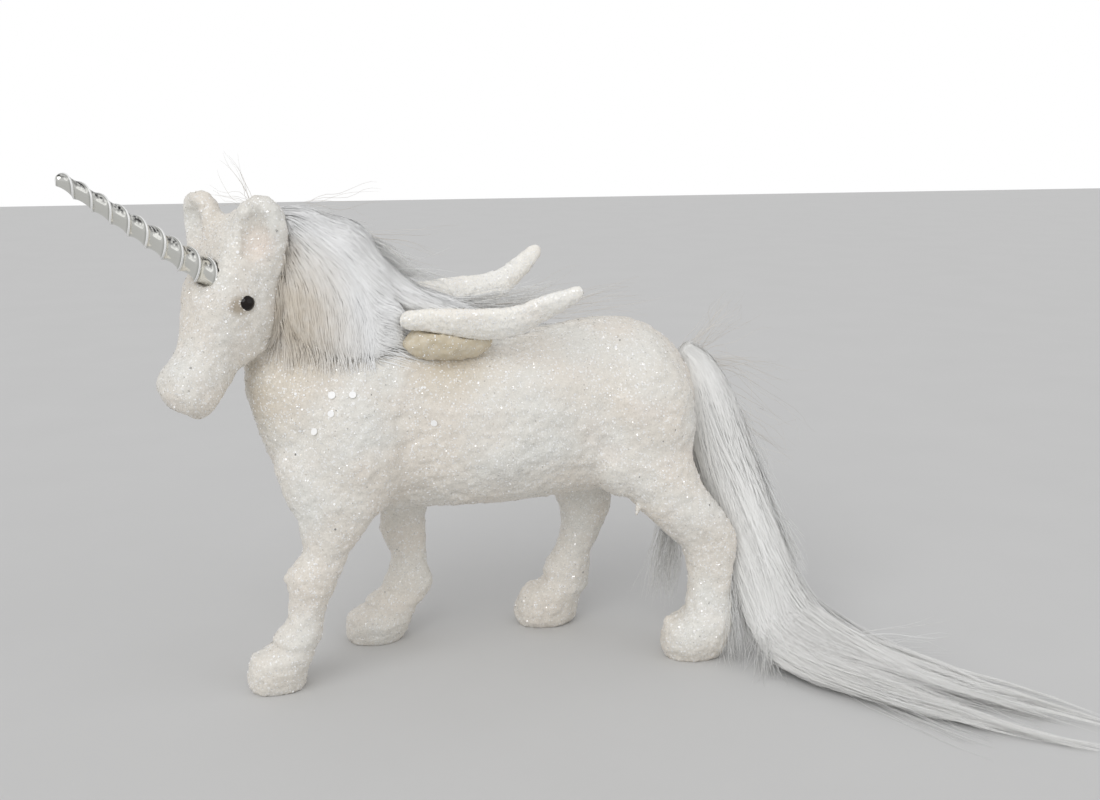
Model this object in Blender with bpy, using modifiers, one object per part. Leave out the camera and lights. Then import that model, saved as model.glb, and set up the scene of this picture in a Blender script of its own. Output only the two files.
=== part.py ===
"""Winged unicorn figurine: a glitter-coated horse with a twisted horn, glued wings and a fur mane and tail.

Tables are in millimetres in the figure's own frame: head towards -X, its left side towards -Y, the table at
z = 0. They are drawn for a figure 120 mm high to the ear tips and follow FIGURE_HEIGHT. The finished figure is
moved as one so that the origin is under the middle of its bounding box.
"""
import math

import bmesh
import bpy
from mathutils import Matrix, Vector

MM = 0.001

# Main size: the table to the ear tips, and the height that the tables are drawn for
FIGURE_HEIGHT = 120.0
DRAWN_HEIGHT = 120.0
UNIT = MM * FIGURE_HEIGHT / DRAWN_HEIGHT

# Clearances
SEAT_GAP = 0.3
HORN_GAP = 0.45

# Eyes: beads set in sockets, one on each side of the head
EYE_RADIUS = 2.0
EYE_ALONG = 12.4
EYE_FRONT = 0.2
EYE_OUT = 8.3

# Horn: two raised edges wound round a tapering core
HORN_BASE = (-60.5, -10.9, 100.6)
HORN_TIP = (-90.5, -29.3, 124.9)
HORN_SUNK = 2.4
HORN_BASE_RADIUS = 3.7
HORN_TIP_RADIUS = 1.75
HORN_LEAD = 9.4
HORN_CORE = 0.74
HORN_ROUNDED = 0.035
HORN_BLUNT = 0.04
HORN_RINGS = 46
HORN_SEGMENTS = 10

# Head: a frame that leans down and turns towards the figure's left
HEAD_CENTRE = Vector((-53.4, -5.0, 106.4))
HEAD_TURN = math.radians(32.0)
HEAD_DROP = math.radians(59.5)

# Skin of the body: voxel size, smoothing passes and the number of triangles kept
BODY_VOXEL = 0.85
BODY_SMOOTH = 6
BODY_TRIANGLES = 5360
MANE_VOXEL = 0.75
MANE_SMOOTH = 4
MANE_TRIANGLES = 1120

# Block that cuts the soles flat at the table: length, width, depth
TABLE_CUT = (300.0, 200.0, 20.0)

# Torso sections along X: x, top, bottom, half width, squareness
TORSO = [
    (-55.5, 80.0, 73.0, 4.6, 2.0),
    (-54.6, 82.0, 68.0, 7.8, 2.0),
    (-52.4, 83.5, 61.5, 11.0, 2.1),
    (-49.0, 84.5, 53.0, 13.4, 2.1),
    (-42.0, 86.0, 47.0, 15.5, 2.2),
    (-32.0, 89.0, 43.6, 17.2, 2.3),
    (-22.0, 89.0, 41.8, 16.8, 2.3),
    (-14.0, 87.0, 41.3, 16.8, 2.2),
    (-5.0, 84.8, 41.2, 18.6, 2.2),
    (5.0, 84.0, 41.4, 19.5, 2.2),
    (15.0, 85.0, 42.0, 18.8, 2.2),
    (24.0, 86.0, 42.8, 17.0, 2.2),
    (32.0, 87.0, 43.5, 17.2, 2.3),
    (42.0, 85.5, 48.0, 17.2, 2.3),
    (49.0, 81.0, 52.0, 14.0, 2.2),
    (53.5, 75.0, 58.0, 9.5, 2.0),
    (55.5, 70.5, 63.0, 4.5, 2.0),
]

# Neck sections from the withers to the poll: centre, half depth, half width, lean of the section
NECK = [
    ((-36.0, 0.0, 70.0), 17.5, 14.2, 28.0),
    ((-38.0, 0.0, 78.0), 16.5, 12.2, 26.0),
    ((-41.0, -0.8, 87.0), 13.8, 9.8, 24.0),
    ((-44.5, -2.0, 96.0), 11.5, 8.4, 24.0),
    ((-48.0, -3.4, 104.0), 9.8, 7.6, 26.0),
    ((-50.5, -4.2, 110.0), 7.0, 6.6, 30.0),
]

# Head sections in the head frame: along, front, back, half width, squareness
HEAD = [
    (-8.5, 5.0, -3.0, 5.0, 2.0),
    (-6.0, 7.0, -5.5, 7.2, 2.1),
    (-1.0, 8.4, -8.0, 9.2, 2.6),
    (5.0, 8.3, -11.5, 9.7, 2.9),
    (10.0, 8.1, -13.8, 9.8, 3.1),
    (15.0, 8.0, -14.4, 9.3, 3.1),
    (19.5, 7.0, -12.4, 8.1, 3.0),
    (24.0, 5.6, -9.6, 7.1, 2.8),
    (28.0, 5.0, -8.0, 6.9, 2.6),
    (32.0, 6.0, -7.6, 7.6, 2.6),
    (35.5, 6.0, -6.8, 7.5, 2.6),
    (38.0, 4.6, -6.3, 6.7, 2.6),
    (40.0, 2.0, -4.9, 4.8, 2.4),
]

# Legs from the top down: x, z, half length, y, half width
NEAR_FORE = [
    (-31.5, 66.0, 15.0, -8.5, 8.0),
    (-33.1, 56.7, 17.0, -9.5, 9.0),
    (-34.7, 48.5, 13.2, -11.0, 8.2),
    (-35.9, 43.5, 9.6, -11.5, 7.0),
    (-37.4, 38.5, 7.1, -12.0, 5.8),
    (-38.8, 34.4, 5.5, -12.0, 5.0),
    (-41.1, 31.2, 6.3, -12.0, 5.7),
    (-42.2, 28.4, 6.4, -12.0, 5.7),
    (-43.1, 23.5, 5.0, -12.0, 4.5),
    (-44.3, 18.5, 4.4, -12.0, 4.2),
    (-45.9, 15.0, 5.5, -12.0, 5.0),
    (-47.0, 12.2, 5.9, -12.0, 5.4),
    (-47.8, 10.9, 5.1, -12.0, 4.9),
    (-49.4, 9.4, 7.1, -11.6, 6.2),
    (-51.0, 6.5, 7.3, -11.0, 6.6),
    (-51.6, 3.5, 7.3, -10.2, 6.6),
    (-51.8, 1.0, 7.0, -9.6, 6.2),
    (-52.0, -2.5, 5.0, -9.4, 4.0),
]
FAR_FORE = [
    (-26.0, 56.0, 10.0, 10.0, 8.0),
    (-20.5, 46.0, 8.5, 11.5, 7.4),
    (-17.8, 40.0, 6.8, 12.5, 6.2),
    (-17.3, 35.1, 5.7, 13.0, 5.4),
    (-17.4, 31.0, 5.7, 13.0, 5.4),
    (-16.4, 25.0, 4.6, 13.0, 4.4),
    (-16.4, 21.0, 4.8, 13.0, 4.6),
    (-16.4, 17.0, 6.4, 13.0, 5.4),
    (-16.8, 14.8, 6.6, 13.0, 5.5),
    (-18.6, 12.8, 6.8, 13.0, 5.5),
    (-20.1, 11.6, 8.2, 13.0, 6.1),
    (-21.7, 10.0, 7.2, 13.2, 5.7),
    (-22.8, 8.4, 8.1, 13.4, 6.4),
    (-24.4, 5.6, 8.6, 13.8, 6.9),
    (-25.2, 2.8, 8.3, 14.8, 6.8),
    (-25.4, 0.6, 7.6, 15.0, 6.2),
    (-25.5, -2.5, 5.2, 15.0, 4.2),
]
FAR_HIND = [
    (36.0, 58.0, 13.0, 9.5, 8.5),
    (33.5, 49.0, 11.5, 11.5, 8.2),
    (31.9, 42.0, 9.6, 13.0, 7.2),
    (31.3, 37.0, 8.0, 14.0, 6.2),
    (31.9, 32.0, 6.6, 14.0, 5.4),
    (30.5, 26.0, 5.4, 14.0, 4.8),
    (28.2, 20.5, 4.9, 14.0, 4.6),
    (26.9, 17.2, 6.2, 14.0, 5.3),
    (26.6, 14.0, 6.5, 14.0, 5.5),
    (25.9, 12.5, 6.3, 14.0, 5.2),
    (24.3, 11.0, 8.1, 14.2, 6.4),
    (22.6, 8.4, 8.2, 14.8, 6.7),
    (21.6, 5.6, 8.6, 15.4, 7.0),
    (21.2, 3.2, 8.7, 16.2, 7.0),
    (21.2, 0.8, 8.0, 16.6, 6.2),
    (21.2, -2.5, 5.6, 16.8, 4.4),
]
NEAR_HIND = [
    (38.5, 64.0, 14.5, -9.0, 9.0),
    (40.0, 55.5, 12.4, -11.0, 8.8),
    (44.4, 46.5, 10.4, -13.0, 7.8),
    (49.6, 39.5, 10.2, -14.0, 6.8),
    (54.4, 34.0, 9.0, -14.2, 6.0),
    (57.0, 30.0, 7.4, -14.2, 5.2),
    (57.6, 25.5, 6.3, -14.2, 4.9),
    (57.6, 20.5, 5.7, -14.3, 4.7),
    (57.4, 16.0, 5.8, -14.6, 4.8),
    (57.3, 13.2, 6.3, -14.8, 5.3),
    (56.9, 12.0, 6.1, -15.0, 5.2),
    (55.3, 10.5, 8.2, -15.2, 6.4),
    (54.3, 7.5, 8.8, -15.2, 6.9),
    (53.9, 4.5, 8.8, -14.8, 7.1),
    (53.8, 2.4, 8.4, -14.0, 6.8),
    (53.7, 0.4, 7.6, -13.4, 6.2),
    (53.6, -2.5, 5.4, -13.2, 4.4),
]

# Muscle forms: centre, radii, turn about Y in degrees
MUSCLES = [
    ((-31.0, -10.2, 60.5), (13.4, 10.4, 20.0), 8.0),
    ((-30.0, 10.0, 61.0), (13.0, 10.2, 20.0), 8.0),
    ((-43.8, -5.0, 67.0), (9.5, 9.0, 14.0), -8.0),
    ((-43.8, 5.0, 67.0), (9.5, 9.0, 14.0), -8.0),
    ((40.5, -9.8, 63.5), (13.2, 10.6, 18.5), -10.0),
    ((40.0, 9.8, 63.5), (13.2, 10.6, 18.5), -10.0),
    ((35.0, -11.4, 52.5), (8.0, 8.0, 9.0), 0.0),
    ((32.0, 11.0, 51.0), (8.5, 7.5, 9.5), 0.0),
    ((4.0, 0.0, 58.5), (17.5, 20.0, 15.0), 0.0),
]

# Ears: base centre, tip centre, half width and half thickness at the widest, facing direction
EAR_LEFT = ((-51.2, -10.0, 103.0), (-50.0, -12.2, 119.2), 6.6, 4.2, (-0.32, -0.95, 0.0))
EAR_RIGHT = ((-61.6, 0.6, 103.5), (-64.4, 2.6, 120.4), 6.0, 4.2, (-0.80, -0.60, 0.0))

# Hollow of an ear: how far up and out its middle lies, and its half sizes, as shares of the ear's own
HOLLOW_UP = 0.55
HOLLOW_OUT = 1.14
HOLLOW_WIDE = 0.60
HOLLOW_DEEP = 0.94
HOLLOW_LONG = 0.39

# Wings: centre of the blade, half height and half thickness, from the front end to the tip
WING_LEFT = [
    ((-19.6, -13.6, 90.2), 0.9, 0.9),
    ((-18.6, -14.0, 90.2), 2.0, 1.5),
    ((-14.6, -15.0, 90.3), 2.8, 1.9),
    ((-7.6, -16.2, 89.7), 3.6, 2.1),
    ((-0.7, -17.4, 89.2), 4.1, 2.1),
    ((6.4, -19.0, 89.9), 3.8, 2.0),
    ((12.6, -21.2, 93.2), 3.0, 1.9),
    ((16.9, -23.2, 95.2), 2.4, 1.7),
    ((19.6, -24.6, 96.9), 1.7, 1.4),
    ((20.8, -25.2, 97.6), 0.8, 0.8),
]
WING_RIGHT = [
    ((-19.6, 8.4, 92.6), 0.9, 0.9),
    ((-18.4, 8.8, 92.7), 2.0, 1.5),
    ((-14.0, 9.8, 92.9), 2.8, 1.9),
    ((-7.0, 11.0, 92.8), 3.6, 2.1),
    ((0.0, 12.6, 92.6), 4.1, 2.1),
    ((6.8, 14.6, 93.2), 3.8, 2.0),
    ((12.4, 16.8, 96.0), 3.0, 1.9),
    ((16.6, 19.0, 99.2), 2.4, 1.7),
    ((19.6, 20.6, 101.6), 1.8, 1.5),
    ((20.6, 21.2, 102.6), 0.8, 0.8),
]
WING_LEAN = 24.0

# Beads of glue that hold the wings: centre and radii
GLUE_LEFT = ((-8.6, -12.6, 84.4), (11.0, 4.6, 4.4))
GLUE_RIGHT = ((-7.6, 10.8, 86.8), (10.4, 3.0, 4.6))

# Width of a mane lock at its two ends, as a share of the width in its table
LOCK_END = 0.45

# Mane locks: root, middle, end, and radii (across the fall, out from the neck) at the three places
MANE_LOCKS = [
    ((-50.0, -2.4, 114.2), (-44.0, -8.6, 110.0), (-42.5, -10.6, 86.5), (3.4, 3.0), (4.6, 4.0), (2.6, 2.0)),
    ((-47.5, -2.6, 114.0), (-40.5, -9.0, 107.0), (-39.8, -11.2, 83.5), (4.0, 3.8), (5.6, 4.4), (3.0, 2.2)),
    ((-44.0, -2.0, 113.4), (-35.5, -9.5, 105.5), (-35.0, -12.6, 81.0), (4.6, 4.0), (5.8, 4.6), (3.2, 2.3)),
    ((-40.0, -1.4, 112.4), (-30.5, -9.5, 102.5), (-30.2, -13.4, 80.0), (5.0, 4.0), (5.8, 4.8), (3.2, 2.3)),
    ((-36.0, -0.6, 111.0), (-26.0, -9.0, 99.5), (-25.4, -13.4, 80.6), (5.0, 4.0), (5.4, 4.8), (3.0, 2.3)),
    ((-31.5, 0.0, 107.5), (-23.0, -6.8, 97.0), (-21.4, -12.4, 83.0), (4.6, 4.0), (5.0, 4.4), (2.6, 2.0)),
    ((-46.0, 1.0, 113.0), (-41.0, 7.0, 104.0), (-41.0, 10.6, 86.0), (4.0, 3.6), (6.0, 4.0), (3.0, 2.0)),
    ((-41.0, 1.0, 112.5), (-36.0, 8.0, 102.0), (-36.0, 12.2, 83.5), (5.0, 3.8), (6.0, 4.2), (3.2, 2.0)),
    ((-36.0, 1.0, 111.0), (-30.0, 8.0, 101.0), (-30.5, 13.2, 82.0), (5.0, 3.8), (6.0, 4.4), (3.2, 2.2)),
    ((-31.5, 1.0, 108.0), (-25.0, 7.0, 98.5), (-24.5, 12.2, 83.5), (4.5, 3.8), (5.0, 4.2), (2.8, 2.0)),
    ((-33.0, 0.0, 106.0), (-24.0, 0.0, 99.0), (-13.0, 0.0, 90.0), (6.0, 5.0), (6.5, 5.0), (5.5, 3.4)),
    ((-27.0, -3.0, 97.0), (-12.0, -3.4, 90.5), (6.0, -4.0, 86.6), (5.0, 4.0), (4.6, 3.0), (2.6, 1.5)),
    ((-27.0, 2.4, 97.0), (-12.0, 2.2, 91.0), (12.0, 2.0, 86.8), (4.6, 4.0), (4.2, 3.2), (2.6, 1.5)),
]
MANE_CORE = [
    ((-49.0, -3.0, 112.5), (4.5, 6.0, 3.6)),
    ((-42.0, -1.0, 108.5), (9.5, 10.0, 7.6)),
    ((-34.0, 0.0, 104.0), (10.5, 11.0, 9.6)),
    ((-28.0, 0.0, 96.5), (9.0, 11.0, 10.0)),
]

# Tail sections from the dock to the end: centre, half width, half thickness, way across
TAIL = [
    ((53.4, 0.0, 77.8), 3.0, 3.0, (0.72, 0.0, 0.69)),
    ((57.0, -0.4, 74.0), 4.6, 4.6, (0.8, 0.0, 0.6)),
    ((60.4, -1.4, 64.5), 6.7, 5.8, (0.94, 0.0, 0.34)),
    ((63.8, -3.2, 52.5), 7.5, 6.2, (0.95, 0.0, 0.30)),
    ((67.8, -6.0, 40.5), 7.7, 6.4, (0.96, 0.0, 0.28)),
    ((71.2, -9.4, 28.5), 8.0, 6.4, (0.96, 0.1, 0.26)),
    ((74.2, -14.0, 16.5), 9.4, 6.2, (0.90, 0.3, 0.30)),
    ((77.8, -19.6, 7.8), 11.8, 5.0, (0.80, 0.5, 0.32)),
    ((84.5, -30.0, 4.6), 13.6, 3.6, (0.75, 0.65, 0.14)),
    ((94.5, -41.8, 3.2), 14.4, 2.6, (0.72, 0.69, 0.05)),
    ((104.2, -52.6, 2.5), 13.2, 2.0, (0.71, 0.70, 0.02)),
    ((113.6, -63.0, 2.0), 10.8, 1.6, (0.71, 0.70, 0.0)),
    ((121.4, -71.6, 1.7), 7.2, 1.3, (0.71, 0.70, 0.0)),
    ((127.0, -77.6, 1.5), 1.6, 0.9, (0.71, 0.70, 0.0)),
]
TAIL_FLUTES = 7
TAIL_FLUTE_DEPTH = 0.15

# How fast the flutes rise from the dock and fade towards the end of the tail, and what is left there
TAIL_FLUTE_RISE = 4.0
TAIL_FLUTE_FALL = 6.0
TAIL_FLUTE_END = 0.2
TAIL_TWIST = 2.2
TAIL_SEGMENTS = 20


def clear_scene():
    """Remove every object that the file opens with."""
    for item in list(bpy.data.objects):
        bpy.data.objects.remove(item, do_unlink=True)


def new_collection(name):
    """Make a collection and link it to the scene."""
    collection = bpy.data.collections.new(name)
    bpy.context.scene.collection.children.link(collection)
    return collection


def new_material(name, colour, roughness, metallic=0.0):
    """Make a Principled material with one colour."""
    material = bpy.data.materials.new(name)
    material.use_nodes = True
    shader = material.node_tree.nodes["Principled BSDF"]
    shader.inputs["Base Color"].default_value = (*colour, 1.0)
    shader.inputs["Roughness"].default_value = roughness
    shader.inputs["Metallic"].default_value = metallic
    material.diffuse_color = (*colour, 1.0)
    return material


def flatten(row):
    """List the numbers of a row whose entries are numbers or tuples."""
    values = []
    for entry in row:
        if isinstance(entry, (tuple, list, Vector)):
            values.extend(entry)
        else:
            values.append(entry)
    return values


def smooth_rows(rows, per_span):
    """Pass a Catmull-Rom curve through the rows of a table."""
    flat = [flatten(row) for row in rows]
    result = []
    for index in range(len(flat) - 1):
        before = flat[max(index - 1, 0)]
        start = flat[index]
        end = flat[index + 1]
        after = flat[min(index + 2, len(flat) - 1)]
        for step in range(per_span):
            t = step / per_span
            values = []
            for p0, p1, p2, p3 in zip(before, start, end, after):
                linear = (p2 - p0) * t
                square = (2.0 * p0 - 5.0 * p1 + 4.0 * p2 - p3) * t * t
                cube = (3.0 * p1 - p0 - 3.0 * p2 + p3) * t * t * t
                values.append(0.5 * (2.0 * p1 + linear + square + cube))
            result.append(values)
    result.append(flat[-1])
    return result


def signed_power(value, power):
    """Raise a number's size to a power and keep its sign."""
    return math.copysign(abs(value) ** power, value)


def add_ring(bm, centre, across, out, segments, squareness=2.0, profile=None, capped=False):
    """Add one closed section: a superellipse on two half axes, scaled by an optional profile."""
    ring = bmesh.ops.create_circle(bm, cap_ends=capped, segments=segments, radius=1.0)
    power = 2.0 / squareness
    for vert in ring["verts"]:
        angle = math.atan2(vert.co.y, vert.co.x)
        scale = 1.0 if profile is None else profile(angle)
        place = across * (signed_power(math.cos(angle), power) * scale)
        place = place + out * (signed_power(math.sin(angle), power) * scale)
        vert.co = (centre + place) * UNIT
    edges = set()
    for vert in ring["verts"]:
        edges.update(vert.link_edges)
    return list(edges)


def add_loft(bm, sections, segments):
    """Bridge a row of sections (centre, across, out, squareness, profile) into one closed skin."""
    previous = None
    last = len(sections) - 1
    for index, (centre, across, out, squareness, profile) in enumerate(sections):
        capped = index in (0, last)
        edges = add_ring(bm, centre, across, out, segments, squareness, profile, capped)
        if previous is not None:
            bmesh.ops.bridge_loops(bm, edges=previous + edges)
        previous = edges


def add_ellipsoid(bm, centre, radii, turn=0.0):
    """Add an ellipsoid that is turned about the Y axis."""
    matrix = Matrix.Translation(Vector(centre) * UNIT)
    matrix = matrix @ Matrix.Rotation(math.radians(turn), 4, "Y")
    matrix = matrix @ Matrix.Diagonal((*(radius * UNIT for radius in radii), 1.0))
    bmesh.ops.create_uvsphere(bm, u_segments=28, v_segments=18, radius=1.0, matrix=matrix)


def link_mesh(name, bm, collection, material=None):
    """Turn a bmesh into an object with its faces pointing out."""
    bmesh.ops.recalc_face_normals(bm, faces=bm.faces)
    mesh = bpy.data.meshes.new(name)
    bm.to_mesh(mesh)
    bm.free()
    item = bpy.data.objects.new(name, mesh)
    collection.objects.link(item)
    if material is not None:
        mesh.materials.append(material)
    return item


def as_guide(item):
    """Mark an object as a cutter or guide, which is not part of the figure."""
    item.hide_render = True
    item.display_type = "WIRE"
    return item


def freeze(item):
    """Replace an object's mesh by its evaluated mesh and drop its modifiers."""
    bpy.context.view_layer.update()
    depsgraph = bpy.context.evaluated_depsgraph_get()
    mesh = bpy.data.meshes.new_from_object(item.evaluated_get(depsgraph), depsgraph=depsgraph)
    old = item.data
    item.modifiers.clear()
    item.data = mesh
    bpy.data.meshes.remove(old)
    mesh.name = item.name
    return item


def skin_over(item, voxel, passes, triangles):
    """Fuse overlapping forms into one skin, soften it and thin it out."""
    remesh = item.modifiers.new("Fuse", "REMESH")
    remesh.mode = "VOXEL"
    remesh.voxel_size = voxel * UNIT
    soften = item.modifiers.new("Soften", "SMOOTH")
    soften.factor = 0.5
    soften.iterations = passes
    freeze(item)
    count = sum(len(face.vertices) - 2 for face in item.data.polygons)
    thin = item.modifiers.new("Thin", "DECIMATE")
    thin.ratio = min(1.0, triangles / count)
    return freeze(item)


def cut(item, cutter, name, operation="DIFFERENCE"):
    """Add a Boolean with one cutter."""
    modifier = item.modifiers.new(name, "BOOLEAN")
    modifier.operation = operation
    modifier.solver = "EXACT"
    modifier.object = cutter
    return modifier


def grown_copy(item, name, collection, gap):
    """Copy a frozen mesh and push its surface out by a gap, as the seat for a neighbour."""
    copy = bpy.data.objects.new(name, item.data.copy())
    collection.objects.link(copy)
    grow = copy.modifiers.new("Grow", "DISPLACE")
    grow.direction = "NORMAL"
    grow.mid_level = 0.0
    grow.strength = gap * MM
    freeze(copy)
    return as_guide(copy)


def head_axes():
    """Directions of the head: down the face, out of the forehead, and to the figure's left."""
    forward = Vector((-math.cos(HEAD_TURN), -math.sin(HEAD_TURN), 0.0))
    up = Vector((0.0, 0.0, 1.0))
    along = forward * math.cos(HEAD_DROP) - up * math.sin(HEAD_DROP)
    front = forward * math.sin(HEAD_DROP) + up * math.cos(HEAD_DROP)
    left = Vector((math.sin(HEAD_TURN), -math.cos(HEAD_TURN), 0.0))
    return along, front, left


def head_point(along, front, left):
    """Place a point of the head frame in the figure's frame."""
    axis_along, axis_front, axis_left = head_axes()
    return HEAD_CENTRE + axis_along * along + axis_front * front + axis_left * left


def torso_sections():
    """Sections of the trunk, upright and across X."""
    sections = []
    for x, top, bottom, half_width, squareness in smooth_rows(TORSO, 3):
        centre = Vector((x, 0.0, (top + bottom) / 2.0))
        across = Vector((0.0, half_width, 0.0))
        out = Vector((0.0, 0.0, (top - bottom) / 2.0))
        sections.append((centre, across, out, squareness, None))
    return sections


def neck_sections():
    """Sections of the neck, each leaning with the neck."""
    sections = []
    for x, y, z, half_depth, half_width, lean in smooth_rows(NECK, 3):
        angle = math.radians(lean)
        out = Vector((math.cos(angle), 0.0, math.sin(angle))) * half_depth
        across = Vector((0.0, half_width, 0.0))
        sections.append((Vector((x, y, z)), across, out, 2.1, None))
    return sections


def head_sections():
    """Sections of the head, square to the line of the face."""
    _, axis_front, axis_left = head_axes()
    sections = []
    for along, front, back, half_width, squareness in smooth_rows(HEAD, 3):
        centre = head_point(along, (front + back) / 2.0, 0.0)
        out = axis_front * ((front - back) / 2.0)
        across = axis_left * half_width
        sections.append((centre, across, out, squareness, None))
    return sections


def leg_sections(table):
    """Level sections of a leg from the top down."""
    sections = []
    for x, z, half_length, y, half_width in smooth_rows(table, 3):
        centre = Vector((x, y, z))
        across = Vector((half_length, 0.0, 0.0))
        out = Vector((0.0, half_width, 0.0))
        sections.append((centre, across, out, 2.15, None))
    return sections


def ear_sections(ear):
    """Sections of an ear: a thick leaf with its front side hollowed."""
    base, tip, half_width, half_thickness, facing = ear
    base = Vector(base)
    tip = Vector(tip)
    rise = (tip - base).normalized()
    face = Vector(facing)
    face = (face - rise * face.dot(rise)).normalized()
    across = rise.cross(face).normalized()
    shape = [(0.0, 0.9, 1.0), (0.3, 1.0, 1.0), (0.55, 1.0, 0.9), (0.75, 0.88, 0.78), (0.9, 0.66, 0.62), (1.0, 0.34, 0.4)]
    sections = []
    for t, wide, thick in smooth_rows(shape, 2):
        centre = base.lerp(tip, t)
        sections.append((centre, across * half_width * wide, face * half_thickness * thick, 2.0, None))
    return sections


def hollow_ear(bm, ear):
    """Add the long hollow that opens the front of an ear."""
    base, tip, half_width, half_thickness, facing = ear
    base = Vector(base)
    tip = Vector(tip)
    rise = (tip - base).normalized()
    face = Vector(facing)
    face = (face - rise * face.dot(rise)).normalized()
    across = rise.cross(face).normalized()
    centre = base.lerp(tip, HOLLOW_UP) + face * (half_thickness * HOLLOW_OUT)
    basis = Matrix((across, face, rise)).transposed().to_4x4()
    shares = (half_width * HOLLOW_WIDE, half_thickness * HOLLOW_DEEP, (tip - base).length * HOLLOW_LONG)
    size = Matrix.Diagonal((*(share * UNIT for share in shares), 1.0))
    matrix = Matrix.Translation(centre * UNIT) @ basis @ size
    bmesh.ops.create_uvsphere(bm, u_segments=16, v_segments=10, radius=1.0, matrix=matrix)


def build_body(collection, guides, material):
    """Model the trunk, neck, head, ears and legs and fuse them into one coated body."""
    bm = bmesh.new()
    add_loft(bm, torso_sections(), 28)
    add_loft(bm, neck_sections(), 24)
    add_loft(bm, head_sections(), 24)
    for ear in (EAR_LEFT, EAR_RIGHT):
        add_loft(bm, ear_sections(ear), 18)
    for table in (NEAR_FORE, FAR_FORE, FAR_HIND, NEAR_HIND):
        add_loft(bm, leg_sections(table), 20)
    for centre, radii, turn in MUSCLES:
        add_ellipsoid(bm, centre, radii, turn)
    body = link_mesh("body", bm, collection, material)
    skin_over(body, BODY_VOXEL, BODY_SMOOTH, BODY_TRIANGLES)
    bm = bmesh.new()
    matrix = Matrix.Translation(Vector((0.0, 0.0, -TABLE_CUT[2] / 2.0)) * UNIT)
    matrix = matrix @ Matrix.Diagonal((TABLE_CUT[0] * UNIT, TABLE_CUT[1] * UNIT, TABLE_CUT[2] * UNIT, 1.0))
    bmesh.ops.create_cube(bm, size=1.0, matrix=matrix)
    table_top = as_guide(link_mesh("table_top", bm, guides))
    cut(body, table_top, "Flat soles")
    for side, ear in (("left", EAR_LEFT), ("right", EAR_RIGHT)):
        bm = bmesh.new()
        hollow_ear(bm, ear)
        hollow = as_guide(link_mesh(f"ear_hollow_{side}", bm, guides))
        cut(body, hollow, f"Ear hollow {side}")
    return body


def eye_centre(side):
    """Centre of the left (1) or right (-1) eye."""
    return head_point(EYE_ALONG, EYE_FRONT, side * EYE_OUT)


def build_eye(name, side, collection, guides, material, body):
    """Add one bead eye and its socket in the body."""
    bm = bmesh.new()
    bmesh.ops.create_uvsphere(bm, u_segments=14, v_segments=7, radius=EYE_RADIUS * UNIT)
    eye = link_mesh(name, bm, collection, material)
    eye.location = eye_centre(side) * UNIT
    bm = bmesh.new()
    matrix = Matrix.Translation(eye_centre(side) * UNIT)
    bmesh.ops.create_uvsphere(bm, u_segments=14, v_segments=8, radius=EYE_RADIUS * UNIT + SEAT_GAP * MM, matrix=matrix)
    socket = as_guide(link_mesh(f"{name}_socket", bm, guides))
    cut(body, socket, f"Socket {name}")
    return eye


def horn_radius(share):
    """Radius over the raised edges at a share of the horn's length."""
    radius = HORN_BASE_RADIUS + (HORN_TIP_RADIUS - HORN_BASE_RADIUS) * share
    if share > 1.0 - HORN_ROUNDED:
        rest = (share - 1.0 + HORN_ROUNDED) / HORN_ROUNDED
        radius = radius * math.sqrt(max(1.0 - rest * rest, HORN_BLUNT))
    return radius


def build_horn(collection, material):
    """Wind two raised edges round the tapering horn, right-handed."""
    base = Vector(HORN_BASE)
    tip = Vector(HORN_TIP)
    axis = (tip - base).normalized()
    start = base - axis * HORN_SUNK
    length = (tip - start).length
    side = axis.cross(Vector((0.0, 0.0, 1.0))).normalized()
    up = side.cross(axis).normalized()
    core = HORN_CORE

    def edge_profile(angle):
        return 1.0 - (1.0 - core) * abs(math.sin(angle)) ** 0.8

    bm = bmesh.new()
    sections = []
    for index in range(HORN_RINGS + 1):
        share = index / HORN_RINGS
        turn = -math.tau * share * length / HORN_LEAD
        radius = horn_radius(share)
        across = (side * math.cos(turn) + up * math.sin(turn)) * radius
        out = (up * math.cos(turn) - side * math.sin(turn)) * radius
        sections.append((start + axis * (length * share), across, out, 2.0, edge_profile))
    add_loft(bm, sections, HORN_SEGMENTS)
    return link_mesh("horn", bm, collection, material)


def build_wing(name, table, side, collection, material):
    """Sweep a leaf-shaped blade back from the withers; its upper edge leans outwards."""
    rows = smooth_rows(table, 2)
    lean = math.radians(WING_LEAN)
    sections = []
    for index, (x, y, z, half_height, half_thickness) in enumerate(rows):
        before = Vector(rows[max(index - 1, 0)][:3])
        after = Vector(rows[min(index + 1, len(rows) - 1)][:3])
        run = (after - before).normalized()
        upright = Vector((0.0, side * math.sin(lean), math.cos(lean)))
        upright = (upright - run * upright.dot(run)).normalized()
        thick = run.cross(upright).normalized()
        sections.append((Vector((x, y, z)), upright * half_height, thick * half_thickness, 2.2, None))
    bm = bmesh.new()
    add_loft(bm, sections, 12)
    return link_mesh(name, bm, collection, material)


def glue_form(bead, gap):
    """Make the oval of a bead of glue, larger by a gap."""
    centre, radii = bead
    bm = bmesh.new()
    matrix = Matrix.Translation(Vector(centre) * UNIT)
    matrix = matrix @ Matrix.Diagonal((*(radius * UNIT + gap * MM for radius in radii), 1.0))
    bmesh.ops.create_uvsphere(bm, u_segments=16, v_segments=9, radius=1.0, matrix=matrix)
    return bm


def build_glue(name, bead, collection, guides, material, seats):
    """Add the bead of glue between a wing and the body, cut clear of both, and return its own seat."""
    glue = link_mesh(name, glue_form(bead, 0.0), collection, material)
    for seat in seats:
        cut(glue, seat, f"Clear of {seat.name}")
    return as_guide(link_mesh(f"{name}_seat", glue_form(bead, SEAT_GAP), guides))


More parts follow.
